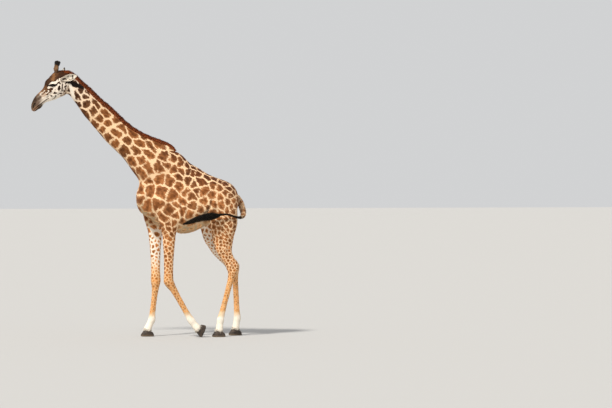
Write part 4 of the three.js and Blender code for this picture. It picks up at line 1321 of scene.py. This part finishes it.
def ear_piece(side):
    node = f"ear_{side}"
    solid = points_of(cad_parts[node].data)
    tip = solid[np.argmax(np.linalg.norm(solid - SKULL, axis=1))]
    root = solid[np.argsort(-np.linalg.norm(solid - tip, axis=1))[:8]].mean(0)
    axis, length = unit(tip - root), np.linalg.norm(tip - root)
    opening = np.array(EAR_HOLLOW[side])
    opening = unit(opening - axis * (opening @ axis))
    across = np.cross(opening, axis)

    def leaf(v, w, inset=0.0, ripple=0.0):
        """Places on the ear's back, or `inset` inside it: v along its length, and w from -1 to 1 round it."""
        thick, wide, curl = read_off(EAR_LEAF, v)
        bend = EAR_BEND * np.sin(np.clip(v, 0, 1) * math.pi)
        aside = (wide - inset) * np.sin(curl * w) + ripple
        behind = (thick - inset) * np.cos(curl * w) + bend
        return root + axis * (v * length)[..., None] + across * aside[..., None] - opening * behind[..., None]

    def fur_colours(points, v, share):
        """Pale fur with a rusty root and a dark tip, where it covers the given share."""
        colours = np.tile(EAR_PALE, (len(points), 1))
        paint(colours, share * bell((v - 0.1) / 0.25) * 0.55, EAR_RUST)
        dark = smoothstep(0.62, 0.82, v + 0.06 * noise(points, 0.02, 72))
        paint(colours, share * dark * EAR_TIP_DARK[side], SPOT)
        return colours

    stations, half = 34, 23
    v, w = np.linspace(-0.10, 1.0, stations)[:, None], np.linspace(-1, 1, half)[None]
    ripple = 0.0015 * np.sin(v * 23) * np.abs(w) ** 3
    back = leaf(v, w, ripple=ripple)
    hollow = leaf(v, w, EAR_WALL * (1 - 0.75 * w**2), ripple)
    rings = np.concatenate([back, hollow[:, ::-1]], axis=1)
    points = np.concatenate([rings.reshape(-1, 3), rings[:1].mean(1), rings[-1:].mean(1)])
    w_all = np.append(np.tile(np.append(w[0], w[0, ::-1]), stations), [0, 0])
    v_all = np.append(np.repeat(v, 2 * half), [0, 0])
    inner = np.append(np.tile(np.repeat([0, 1], half), stations), [0, 0])
    colours = fur_colours(points, v_all, 1 - inner)
    streaks = smoothstep(-0.1, 0.5, noise(points, 0.022, 71) + 0.3 * np.sin(w_all * 9))
    dark = inner * window(v_all, 0.25, 0.5, 0.85, 1.0) * smoothstep(0.85, 0.45, np.abs(w_all))
    paint(colours, dark * smoothstep(0.15, 0.75, streaks) * 0.95, EAR_DARK)
    paint(colours, inner * bell(v_all / 0.18) * 0.7, EAR_PINK)
    paint(colours, smoothstep(0.8, 1.0, np.abs(w_all)) * 0.9, WHITE)
    fields = hide_fields(points, colours, grain=(v_all * length, w_all * 0.05, inner * 3 + 40))
    hide_piece(node + "_cup", points, tube_faces(stations, 2 * half), fields, "hide", [node])

    # short fur over the back of the ear, longer where the ear leaves the head
    n = int(HAIRS["ear"] * thinner)
    v = np.where(rng.random(n) < 0.3, rng.uniform(-0.08, 0.12, n), rng.uniform(0.0, 0.97, n))
    w = rng.uniform(-0.97, 0.97, n)
    base = leaf(v, w)
    thick, wide, curl = read_off(EAR_LEAF, v)
    outward = across * np.sin(curl * w)[:, None] - opening * (np.cos(curl * w) * wide / thick)[:, None]
    outward = unit(outward)
    low_down = smoothstep(0.14, 0.0, v)
    reach = (rng.uniform(0.007, 0.012, n) * (1 + 1.3 * low_down))[:, None]
    toward = unit(axis + rng.normal(0, 0.16, (n, 3)) + outward * (0.10 + 0.15 * low_down)[:, None])
    rings = grown(base, (outward, np.array([-0.0006, 0.0])), (toward, reach * [0.0, 1.0]))
    slim = reach * rng.uniform(0.08, 0.12, (n, 1)) * [1.0, 0.0]
    fields = hide_fields(base, fur_colours(base, v, np.ones(n)) * rng.uniform(0.86, 1.06, (n, 1)))
    home, aside = spare_home([0.10, 0.98], n), np.cross(outward, axis)
    strands(node + "_fur", rings, slim, 0.5, aside, fields, home, HIDE, "hide", lit_as=outward)

    # pale hairs along both rims, leaning into the cup and to the tip
    n = HAIRS["ear_rim"]
    v, edge_of = rng.uniform(0.02, 0.97, n), rng.choice([-1, 1], n)
    base = leaf(v, edge_of * rng.uniform(0.55, 0.98, n), 0.003)
    reach = (rng.uniform(0.014, 0.030, n) * (1 - 0.5 * v))[:, None]
    toward = axis * 0.9 - across * (edge_of * 0.55)[:, None] + opening * 0.35
    toward = unit(toward + rng.normal(0, 0.16, (n, 3)))
    rings = grown(base, (toward, reach * FOUR_RINGS), (axis, 0.3 * reach * FOUR_RINGS**2))
    fields = hide_fields(base, np.tile(WHITE, (n, 1)) * rng.uniform(0.8, 1.05, (n, 1)))
    home = spare_home([0.02, 0.98], n)
    strands(node + "_fringe", rings, [0.0011, 0.0010, 0.0007, 0], 0.6, across, fields, home, HIDE, "hide")


HORN_PROFILE = [  # height above the root, reach to the front and to the back
    (-0.070, 0.030, 0.034),
    (-0.035, 0.032, 0.036),
    (-0.004, 0.033, 0.037),
    (0.026, 0.0265, 0.0295),
    (0.060, 0.022, 0.023),
    (0.088, 0.0225, 0.0245),
    (0.106, 0.026, 0.028),
    (0.120, 0.025, 0.027),
    (0.129, 0.015, 0.017),
    (0.132, 0.003, 0.004),
]
HORN_ROOT = (0.042, -0.061, 0.165)


def hair_material(name, colour, tip_colour, roughness):
    """Long hair: strands of uneven colour, lighter or redder towards their tips."""
    m = Material(name, roughness, Sheen_Weight=0.02, Specular_IOR_Level=0.18)
    _, own, along = m.parts(m.attribute("marking"))[:3]
    clump = m.ramp(m.noise(m.attribute("spot"), 22.0, 3.0), 0.3, 0.7, 0.75, 1.2)
    tone = m.mix(m.ramp(along, 0.2, 1.0), colour, tip_colour)
    fine = m.noise(m.stretched(m.position(), (260.0, 260.0, 90.0)), 1.0, 2.0)
    shade = m.times(clump, m.math("MULTIPLY_ADD", own, 0.6, 0.7), m.ramp(fine, 0.3, 0.7, 0.85, 1.1))
    m.colour(m.brighter(tone, shade))
    m.roughness(m.ramp(fine, 0.2, 0.8, roughness - 0.08, roughness + 0.12))
    m.bump(fine, 0.25, 0.001)
    return m.data


HORN_HAIR = hair_material("horn_hair", HAIR_BLACK, srgb(44, 32, 26), 0.5)
MANE_HAIR = hair_material("mane_hair", srgb(150, 74, 30), srgb(118, 54, 19), 0.6)
TAIL_HAIR = hair_material("tail_hair", srgb(26, 23, 16), srgb(46, 37, 26), 0.45)

skin_tree = BVHTree.FromPolygons(skin_points.tolist(), skin_triangles.tolist())


def shown_near(points):
    """The colour that the skin shows nearest to each point."""
    corner = skin_triangles[[skin_tree.find_nearest(Vector(p))[2] for p in points], 0]
    return np.where(marking[corner, None] > 0, patch[corner] * 0.78, ground[corner])


def laid_on_skin(points, amount, lift):
    """Points drawn towards the nearest place on the skin, to stand `lift` above it."""
    found = [skin_tree.find_nearest(Vector(p))[:2] for p in points]
    goal = np.array([place + normal * up for (place, normal), up in zip(found, lift)])
    return points + (goal - points) * amount[:, None]


def horn_colours(points, height):
    """The tan stem, which takes the skin's colour at its foot."""
    foot = smoothstep(0.042, 0.004, height + 0.006 * noise(points, 0.012, 84))
    colours = np.tile(HORN_TAN, (len(points), 1))
    return colours + (shown_near(points) - colours) * foot[:, None]


def horn_piece(side, hand):
    node = f"ossicone_{side}"
    sides = 30
    stem, dome = np.linspace(-0.07, 0.120, 34), 0.012 * np.sin(np.linspace(0.1, 1, 9) * math.pi / 2)
    heights = np.concatenate([stem, 0.120 + dome])
    rise = unit(np.array([hand * 0.09, 0.19, 1]))
    root = head_point(hand * HORN_ROOT[0], *HORN_ROOT[1:])
    path = root + rise * np.maximum(heights, 0)[:, None] + CROWN * np.minimum(heights, 0)[:, None]
    points, faces = tube(path, *read_off(HORN_PROFILE, heights), sides)
    centre = np.concatenate([np.repeat(path, sides, axis=0), path[:1], path[-1:]])
    outward = unit(points - centre + 1e-9)
    uneven = 0.0016 * noise(points, 0.018, 81) + 0.0008 * noise(points, 0.007, 82)
    points = points + outward * uneven[:, None]
    height = np.concatenate([np.repeat(heights, sides), heights[:1], heights[-1:]])
    # the foot spreads onto the forehead, and what is lower is under the skin
    lift = 0.001 - 0.012 * smoothstep(0.0, -0.02, height)
    points = laid_on_skin(points, smoothstep(0.026, 0.0, height), lift)
    colours = horn_colours(points, height)
    paint(colours, smoothstep(0.070, 0.088, height + 0.006 * noise(points, 0.012, 83)), HAIR_BLACK)
    grain = (height, np.arctan2(outward[:, 1], outward[:, 0]) * 0.028, 50.0)
    hide_piece(node + "_core", points, faces, hide_fields(points, colours, grain=grain), "ossicone", [node])

    # the black cap, which leans back, and short hair up the stem
    first, second = (direction[20] for direction in frames_along(path))
    for name, low, high, count, length, material, leaning, back_lean in (
        (f"{node}_cap", 0.076, 0.131, HAIRS["horn_cap"], (0.012, 0.024), HORN_HAIR, 0.45, 0.35),
        (f"{node}_hair", -0.012, 0.088, HAIRS["horn_stem"], (0.006, 0.011), HIDE, 0.20, 0),
    ):
        h, around = rng.uniform(low, high, count), rng.uniform(0, 2 * math.pi, count)
        sideways = np.cos(around)[:, None] * first + np.sin(around)[:, None] * second
        base = root + rise * h[:, None] + sideways * (sum(read_off(HORN_PROFILE, h)) / 2 * 0.985)[:, None]
        base = laid_on_skin(base, smoothstep(0.026, 0.0, h), np.zeros(count))
        lean = leaning + (h - low) / (high - low) * 0.2
        toward = sideways * lean[:, None] + rise * 0.9 + np.array([0, back_lean, 0])
        toward = unit(toward + rng.normal(0, 0.14, (count, 3)))
        reach = rng.uniform(*length, (count, 1))
        fields = hair_fields(base)
        if material is HIDE:
            fields = hide_fields(base, horn_colours(base, h) * rng.uniform(0.85, 1.15, (count, 1)))
        home = np.stack([around / 25 + 0.02, h + 0.6], axis=1)
        rings, wide = grown(base, (toward, reach * FOUR_RINGS)), reach * [0.075, 0.085, 0.06, 0]
        strands(name, rings, wide, 0.6, np.cross(rise, sideways), fields, home, material, "ossicone")


# ---------------------------------------------------------------- eyes


def eye_material():
    """A dark brown iris with a long level pupil under a clear wet surface."""
    m = Material("eye", 0.10, Coat_Weight=0.8, Coat_Roughness=0.02, Specular_IOR_Level=0.1)
    _, front, up = m.parts(m.attribute("gaze"))[:3]
    shares = [m.math("ABSOLUTE", m.math("DIVIDE", way, half)) for way, half in ((front, 0.34), (up, 0.17))]
    pupil = m.math("ADD", *(m.math("POWER", share, 2.0) for share in shares))
    ring = m.math("ADD", m.times(front, front), m.times(up, up))
    threads = m.noise(m.attribute("gaze"), 26.0, 3.0)
    iris = m.brighter(m.mix(threads, srgb(62, 38, 22), srgb(34, 21, 14)), m.ramp(ring, 0.05, 0.42, 1.15, 0.6))
    white = m.mix(m.ramp(ring, 0.45, 0.58), iris, srgb(120, 96, 84))
    m.colour(m.mix(m.ramp(pupil, 0.85, 1.1), srgb(8, 7, 8), white))
    return m.data


EYE_SKIN = eye_material()


def eye_piece(side, hand):
    out, front, up = eye_axes(hand)
    stations, sides = 25, 40
    polar = np.linspace(0.02, math.pi - 0.02, stations)[:, None]
    around = np.arange(sides) / sides * 2 * math.pi
    ball = np.broadcast_arrays(np.cos(polar), np.sin(polar) * np.cos(around), np.sin(polar) * np.sin(around))
    gaze = np.concatenate([np.stack(ball, axis=2).reshape(-1, 3), [[1, 0, 0], [-1, 0, 0]]])
    bulge = EYE_RADIUS * (1 + 0.03 * bell(np.hypot(gaze[:, 1], gaze[:, 2]) / 0.42) * (gaze[:, 0] > 0))
    points = EYE[hand] + (gaze @ np.stack([out, front, up])) * bulge[:, None]
    mesh = mesh_from(f"eye_{side}_ball", points, tube_faces(stations, sides))
    set_attribute(mesh, "gaze", gaze)
    mesh.materials.append(EYE_SKIN)
    new_object(f"eye_{side}_ball", mesh, "eye", [f"eye_{side}"])

    # lashes: a long row from the upper lid, a short one from the lower
    steps = np.linspace(0, 1, 6)
    slim = np.array([0.9, 0.85, 0.75, 0.6, 0.4, 0]) * 0.0007
    for name, count, length, lid, rise, droop in (
        (f"lashes_upper_{side}", 110, (0.016, 0.027), EYE_SLIT["top"], 0.15, -0.50),
        (f"lashes_lower_{side}", 60, (0.008, 0.014), -EYE_SLIT["bottom"], -0.4, -0.1),
    ):
        share = rng.uniform(-0.92, 0.92, count)
        u = share * EYE_SLIT["half"]
        v = slit_share(u) * lid + math.copysign(0.0012, lid)
        d = np.sqrt((EYE_RADIUS + LID * 0.8) ** 2 - u**2 - v**2)
        base = EYE[hand] + out * d[:, None] + front * u[:, None] + up * v[:, None]
        reach = rng.uniform(*length, (count, 1))
        fan = 0.45 * share[:, None]
        start = unit(out + front * fan + up * rise + rng.normal(0, 0.07, (count, 3)))
        sweep = front * (0.25 + fan) * 0.5 + up * droop + rng.normal(0, 0.05, (count, 3))
        rings = grown(base, (start, reach * steps), (sweep, reach * steps**2))
        home = spare_home([0.97, 0.97], count, (-1, -1))
        strands(name, rings, slim, 1, front, hair_fields(base), home, HORN_HAIR, "hide")


# ---------------------------------------------------------------- mane


def mane_piece(count):
    line = mane_curve(300)
    tangent = unit(np.gradient(line, axis=0))
    outward = np.stack([0 * line[:, 0], -tangent[:, 2], tangent[:, 1]], axis=1)
    outward *= np.sign(outward[:, 2:3])
    share = rng.uniform(0, 1, count)
    aside = rng.normal(0, 0.0085, count).clip(-0.019, 0.019)
    at, run, out = sampled(line, share), unit(sampled(tangent, share)), unit(sampled(outward, share))
    top = WITHERS + at + ACROSS * aside[:, None]
    base = []
    for p, d in zip(top + out * 0.05, -out):
        hit = skin_tree.ray_cast(Vector(p), Vector(d), 0.3)[0]
        base.append(hit if hit else Vector(p + d * 0.12))
    base = np.array(base) - out * 0.006
    uneven = 1 + 0.07 * noise(at, 0.045, 91) + 0.05 * noise(at, 0.012, 92)
    tall = (np.einsum("ij,ij->i", top - base, out) + 0.010) * uneven * rng.uniform(0.90, 1.10, count)
    tall *= 1 - 0.35 * (np.abs(aside) / 0.022) ** 2
    tall *= 0.75 + 0.25 * smoothstep(-0.01, 0.06, share)
    tall *= 1 - 0.5 * smoothstep(0.88, 1.0, share)
    lean = 0.34 + 0.25 * noise(at, 0.08, 93) + rng.normal(0, 0.09, count)
    splay = aside / 0.02 * 0.18 + rng.normal(0, 0.07, count)
    rings = grown(
        base,
        (out, tall[:, None] * FOUR_RINGS),
        (run, (tall * lean)[:, None] * FOUR_RINGS**1.7),
        (ACROSS, (tall * splay)[:, None] * FOUR_RINGS**1.4),
    )
    wide = rng.uniform(0.0013, 0.0021, (count, 1)) * [0.9, 1.0, 0.85, 0]
    home = np.stack([0.75 + 0.1 * aside / 0.02, share * 0.45 + 0.02], axis=1)
    strands("mane_hair", rings, wide, 0.7, run, hair_fields(base), home, MANE_HAIR, "mane", ["mane"])


# ---------------------------------------------------------------- tail

# Stations (x, y, z, radius) from the rump round the left thigh, and on along the flank.
DOCK = [
    (0.000, 0.865, 2.010, 0.046), (0.000, 0.918, 1.998, 0.043), (0.010, 0.962, 1.935, 0.038),
    (0.026, 0.988, 1.865, 0.033), (0.050, 1.000, 1.800, 0.027), (0.096, 0.992, 1.748, 0.020),
    (0.168, 0.950, 1.716, 0.0145), (0.256, 0.886, 1.712, 0.0115), (0.318, 0.800, 1.732, 0.010),
    (0.344, 0.716, 1.756, 0.0095), (0.354, 0.630, 1.756, 0.010),
]
SWITCH = [
    (0.344, 0.716, 1.756, 0.010), (0.354, 0.650, 1.757, 0.012), (0.357, 0.600, 1.752, 0.018),
    (0.364, 0.548, 1.738, 0.032), (0.368, 0.470, 1.730, 0.042), (0.366, 0.388, 1.718, 0.038),
    (0.360, 0.300, 1.698, 0.032), (0.356, 0.210, 1.668, 0.026), (0.352, 0.130, 1.640, 0.018),
    (0.350, 0.055, 1.614, 0.006),
]
SWITCH_FULLNESS = 1.2  # the loose hair stands this much wider than the lock it hangs in


def path_of(stations, count):
    curve = curve_through(stations, count)
    return WITHERS + curve[:, :3], curve[:, 3]


def dock_look(points, share):
    """The dock's colour and its bands: cream with brown bars, then dark towards the switch."""
    dark = smoothstep(0.40, 0.62, share + 0.04 * noise(points, 0.03, 95))
    colours = np.tile(CREAM, (len(points), 1))
    paint(colours, dark, TAIL_DARK)
    return dark, colours, 0.016 * np.sin(share * 48 + 2.2 * noise(points, 0.06, 96)) - 0.004 - 0.05 * dark


def dock_pieces():
    stations, sides = 120, 26
    path, radius = path_of(DOCK, stations)
    radius = radius * (1 - 0.10 * smoothstep(0.1, 0.4, np.linspace(0, 1, stations)))
    points, faces = tube(path, radius, radius, sides)
    share = np.append(np.repeat(np.linspace(0, 1, stations), sides), [0, 1])
    _, colours, bands = dock_look(points, share)
    fields = hide_fields(points, colours, BROWN, bands, (share * 1.4, 0.0, 60.0))
    hide_piece("tail_dock_core", points, faces, fields, "hide", ["tail_dock"])

    count = HAIRS["dock"]
    share = np.where(rng.random(count) < 0.2, rng.uniform(0.02, 0.16, count), rng.uniform(0.02, 0.99, count))
    angle = rng.uniform(0, 2 * math.pi, count)
    first, second = (sampled(direction, share) for direction in frames_along(path))
    aside = first * np.cos(angle)[:, None] + second * np.sin(angle)[:, None]
    run = unit(sampled(np.gradient(path, axis=0), share))
    base = sampled(path, share) + aside * (sampled(radius[:, None], share) * 0.93)
    reach = ((0.022 + 0.034 * bell((share - 0.30) / 0.20)) * rng.uniform(0.7, 1.2, count))[:, None]
    stand = (rng.uniform(0.12, 0.38, count) * smoothstep(0.0, 0.2, share))[:, None]
    rings = grown(
        base,
        (run, reach * FOUR_RINGS),
        (aside, reach * stand * np.sin(FOUR_RINGS * 2.4)),
        (UP, -0.15 * reach * FOUR_RINGS**2),
    )
    dark, tone, bands = dock_look(base, share)
    tone *= rng.uniform(0.85, 1.12, (count, 1)) * np.clip(0.80 + 1.6 * share, 0, 1)[:, None]
    wide = (0.0011 + 0.0006 * (1 - dark))[:, None] * [0.8, 1, 0.7, 0]
    home = np.stack([0.25 + angle / 60, 0.40 + share * 0.09], axis=1)
    fields = hide_fields(base, tone, BROWN, bands)
    strands("tail_dock_hair", rings, wide, 0.6, np.cross(run, aside), fields, home, HIDE, "hide")


def switch_piece():
    """Long loose hairs that start along the upper part of the switch and end further down it."""
    path, radius = path_of(SWITCH, 160)
    count = HAIRS["switch"]
    start = rng.uniform(0.0, 0.42, count) ** 1.1
    end = np.clip(start + rng.uniform(0.42, 0.85, count), 0, 1.0)
    end = np.where(rng.random(count) < 0.35, rng.uniform(0.85, 1.0, count), end)
    angle, out = rng.uniform(0, 2 * math.pi, count), np.sqrt(rng.uniform(0.02, 1, count))
    out *= 1 + 0.25 * (rng.random(count) < 0.12)
    steps = np.linspace(0, 1, 8)
    places = start[:, None] + (end - start)[:, None] * steps
    spread = out[:, None] * (0.35 + 0.65 * smoothstep(0, 0.45, steps))
    r = sampled((radius * SWITCH_FULLNESS)[:, None], places)[..., 0] * spread
    wave = 0.16 * np.sin(steps * 7 + rng.uniform(0, 6.3, (count, 1))) + rng.normal(0, 0.25, (count, 1))
    turn = angle[:, None] + wave * steps
    first, second = (sampled(direction, places) for direction in frames_along(path))
    rings = sampled(path, places) + first * (r * np.cos(turn))[..., None]
    rings += second * (r * np.sin(turn))[..., None]
    wide = rng.uniform(0.0012, 0.0024, (count, 1)) * [0.7, 1, 1, 1, 0.95, 0.8, 0.5, 0]
    across = unit(np.cross(rings[:, 5] - rings[:, 4], [0.2, 0.1, 1.0]))
    home = np.stack([0.40 + 0.05 * start, 0.30 + 0.05 * out], axis=1)
    fields, name = hair_fields(rings[:, 0]), "tail_switch_hair"
    strands(name, rings, wide, 0.7, across, fields, home, TAIL_HAIR, "tail_hair", ["tail_switch"])


# ---------------------------------------------------------------- hooves


def horn_material():
    """Dark horn, ringed where it has grown, scuffed and dusty towards the ground."""
    m = Material("hoof", 0.5, Specular_IOR_Level=0.4)
    place = m.attribute("spot")
    growth = m.noise(m.stretched(place, (9.0, 9.0, 150.0)), 1.0, 4.0, 0.65)
    fibres = m.noise(m.stretched(place, (260.0, 260.0, 40.0)), 1.0, 3.0)
    blotch = m.noise(place, 24.0, 4.0, 0.6)
    height = m.parts(place)[2]
    tone = m.mix(m.ramp(blotch, 0.3, 0.7), srgb(38, 31, 27), srgb(76, 62, 50))
    dusty = m.mix(m.ramp(height, 0.0, 0.035, 0.55, 0.0), tone, srgb(140, 120, 96))
    shade = m.times(m.ramp(growth, 0.3, 0.7, 0.82, 1.12), m.ramp(fibres, 0.3, 0.7, 0.96, 1.03))
    m.colour(m.brighter(dusty, shade))
    m.roughness(m.ramp(blotch, 0.3, 0.7, 0.42, 0.68))
    m.bump(m.math("ADD", growth, m.times(fibres, 0.15)), 0.6, 0.0022)
    return m.data


HOOF_HORN = horn_material()
GROWTH_RINGS = 0.0085  # metres from one ring of the horn to the next


def hoof_piece(node):
    """A claw with its edges worn round; its sole stays where the solid's is."""
    low, high = node_box(node)
    mesh = remeshed(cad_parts[node].data.copy(), 0.0055)
    points, triangles = points_of(mesh), triangles_of(mesh)
    soft = Web(edges_of(mesh), len(points)).smoothed(points, np.full(len(points), 0.9), 8)
    soft[:, 2] = np.maximum(soft[:, 2], low[2])
    middle = (low + high)[:2] / 2
    narrowing = 1 - 0.20 * smoothstep(0.35, 1.0, (soft[:, 2] - low[2]) / (high[2] - low[2]))
    soft[:, :2] = middle + (soft[:, :2] - middle) * narrowing[:, None]
    normals = normals_of(soft, triangles)
    wall = smoothstep(0.6, 0.2, np.abs(normals[:, 2]))
    rings = np.sin(soft[:, 2] / GROWTH_RINGS * 2 * math.pi + noise(soft, 0.05, 98) * 1.5)
    soft += normals * (0.0007 * rings * wall)[:, None]
    soft[:, 2] = np.maximum(soft[:, 2], low[2])
    set_points(mesh, soft)
    mesh.name = node + "_horn"
    set_attribute(mesh, "spot", soft)
    mesh.materials.clear()
    mesh.materials.append(HOOF_HORN)
    new_object(node + "_horn", mesh, "hoof", [node])


for side, hand in SIDES.items():
    ear_piece(side)
    horn_piece(side, hand)
    eye_piece(side, hand)
mane_piece(int(HAIRS["mane"] * thinner))
dock_pieces()
switch_piece()
for leg in LEG_NODES:
    for claw in CLAWS:
        hoof_piece(f"{leg}_hoof_{claw}")
    coronet_piece(leg, int(HAIRS["coronet"] * thinner))

# ---------------------------------------------------------------- floor, light and camera

FLOOR_REACH = 150
floor_corners = [(x * FLOOR_REACH, y * FLOOR_REACH, 0) for x, y in ((-1, -1), (1, -1), (1, 1), (-1, 1))]
floor_mesh = bpy.data.meshes.new("floor")
floor_mesh.from_pydata(floor_corners, [], [(0, 1, 2, 3)])
floor = new_object("floor", floor_mesh)
floor_mesh.materials.append(Material("floor", 0.9, Base_Color=(0.49, 0.485, 0.475, 1)).data)

SKY_COLOUR, SKY_STRENGTH = (0.97, 0.98, 0.99, 1), 0.66
SUN_COLOUR, SUN_STRENGTH, SUN_WIDTH = (1.0, 0.955, 0.88), 3.5, math.radians(8)
world = bpy.data.worlds.new("studio")
bpy.context.scene.world = world
world.use_nodes = True
background = world.node_tree.nodes["Background"]
background.inputs["Color"].default_value = SKY_COLOUR
background.inputs["Strength"].default_value = SKY_STRENGTH
bpy.context.scene.view_settings.view_transform = "Standard"

VIEW_AZIMUTH = math.radians(80)
VIEW_ELEVATION = math.radians(0.5)
VIEW_DISTANCE = 40.0
METRES_PER_PIXEL = 0.0143
IMAGE_WIDTH = 612
SENSOR_WIDTH = 36

# The camera stands square to this view of the animal, and turns so that the animal is left of the middle.
back = np.array([
    math.sin(VIEW_AZIMUTH) * math.cos(VIEW_ELEVATION),
    -math.cos(VIEW_AZIMUTH) * math.cos(VIEW_ELEVATION),
    math.sin(VIEW_ELEVATION),
])
right = np.array([math.cos(VIEW_AZIMUTH), math.sin(VIEW_AZIMUTH), 0])
up = np.cross(back, right)
BODY_MIDDLE = body_point(0.037, -0.544, 1.975)
LOOK_RIGHT, LOOK_DOWN = 2.417, 0.0715
place = BODY_MIDDLE + back * VIEW_DISTANCE
look = unit(BODY_MIDDLE + right * LOOK_RIGHT - up * LOOK_DOWN - place)
camera_right = unit(np.cross(look, UP))
camera_data = bpy.data.cameras.new("camera")
camera = bpy.data.objects.new("camera", camera_data)
bpy.context.scene.collection.objects.link(camera)
camera.location = Vector(place)
camera.rotation_euler = Matrix((camera_right, np.cross(camera_right, look), -look)).transposed().to_euler()
camera_data.sensor_width = SENSOR_WIDTH
camera_data.lens = SENSOR_WIDTH * VIEW_DISTANCE / (METRES_PER_PIXEL * IMAGE_WIDTH)
camera_data.clip_end = 400
bpy.context.scene.camera = camera

sun_data = bpy.data.lights.new("key", "SUN")
sun_data.energy, sun_data.angle, sun_data.color = SUN_STRENGTH, SUN_WIDTH, SUN_COLOUR
key = bpy.data.objects.new("key", sun_data)
bpy.context.scene.collection.objects.link(key)
to_light = back * 0.62 - right * 0.45 + UP * 0.85
key.rotation_euler = Vector(to_light).to_track_quat("Z", "Y").to_euler()
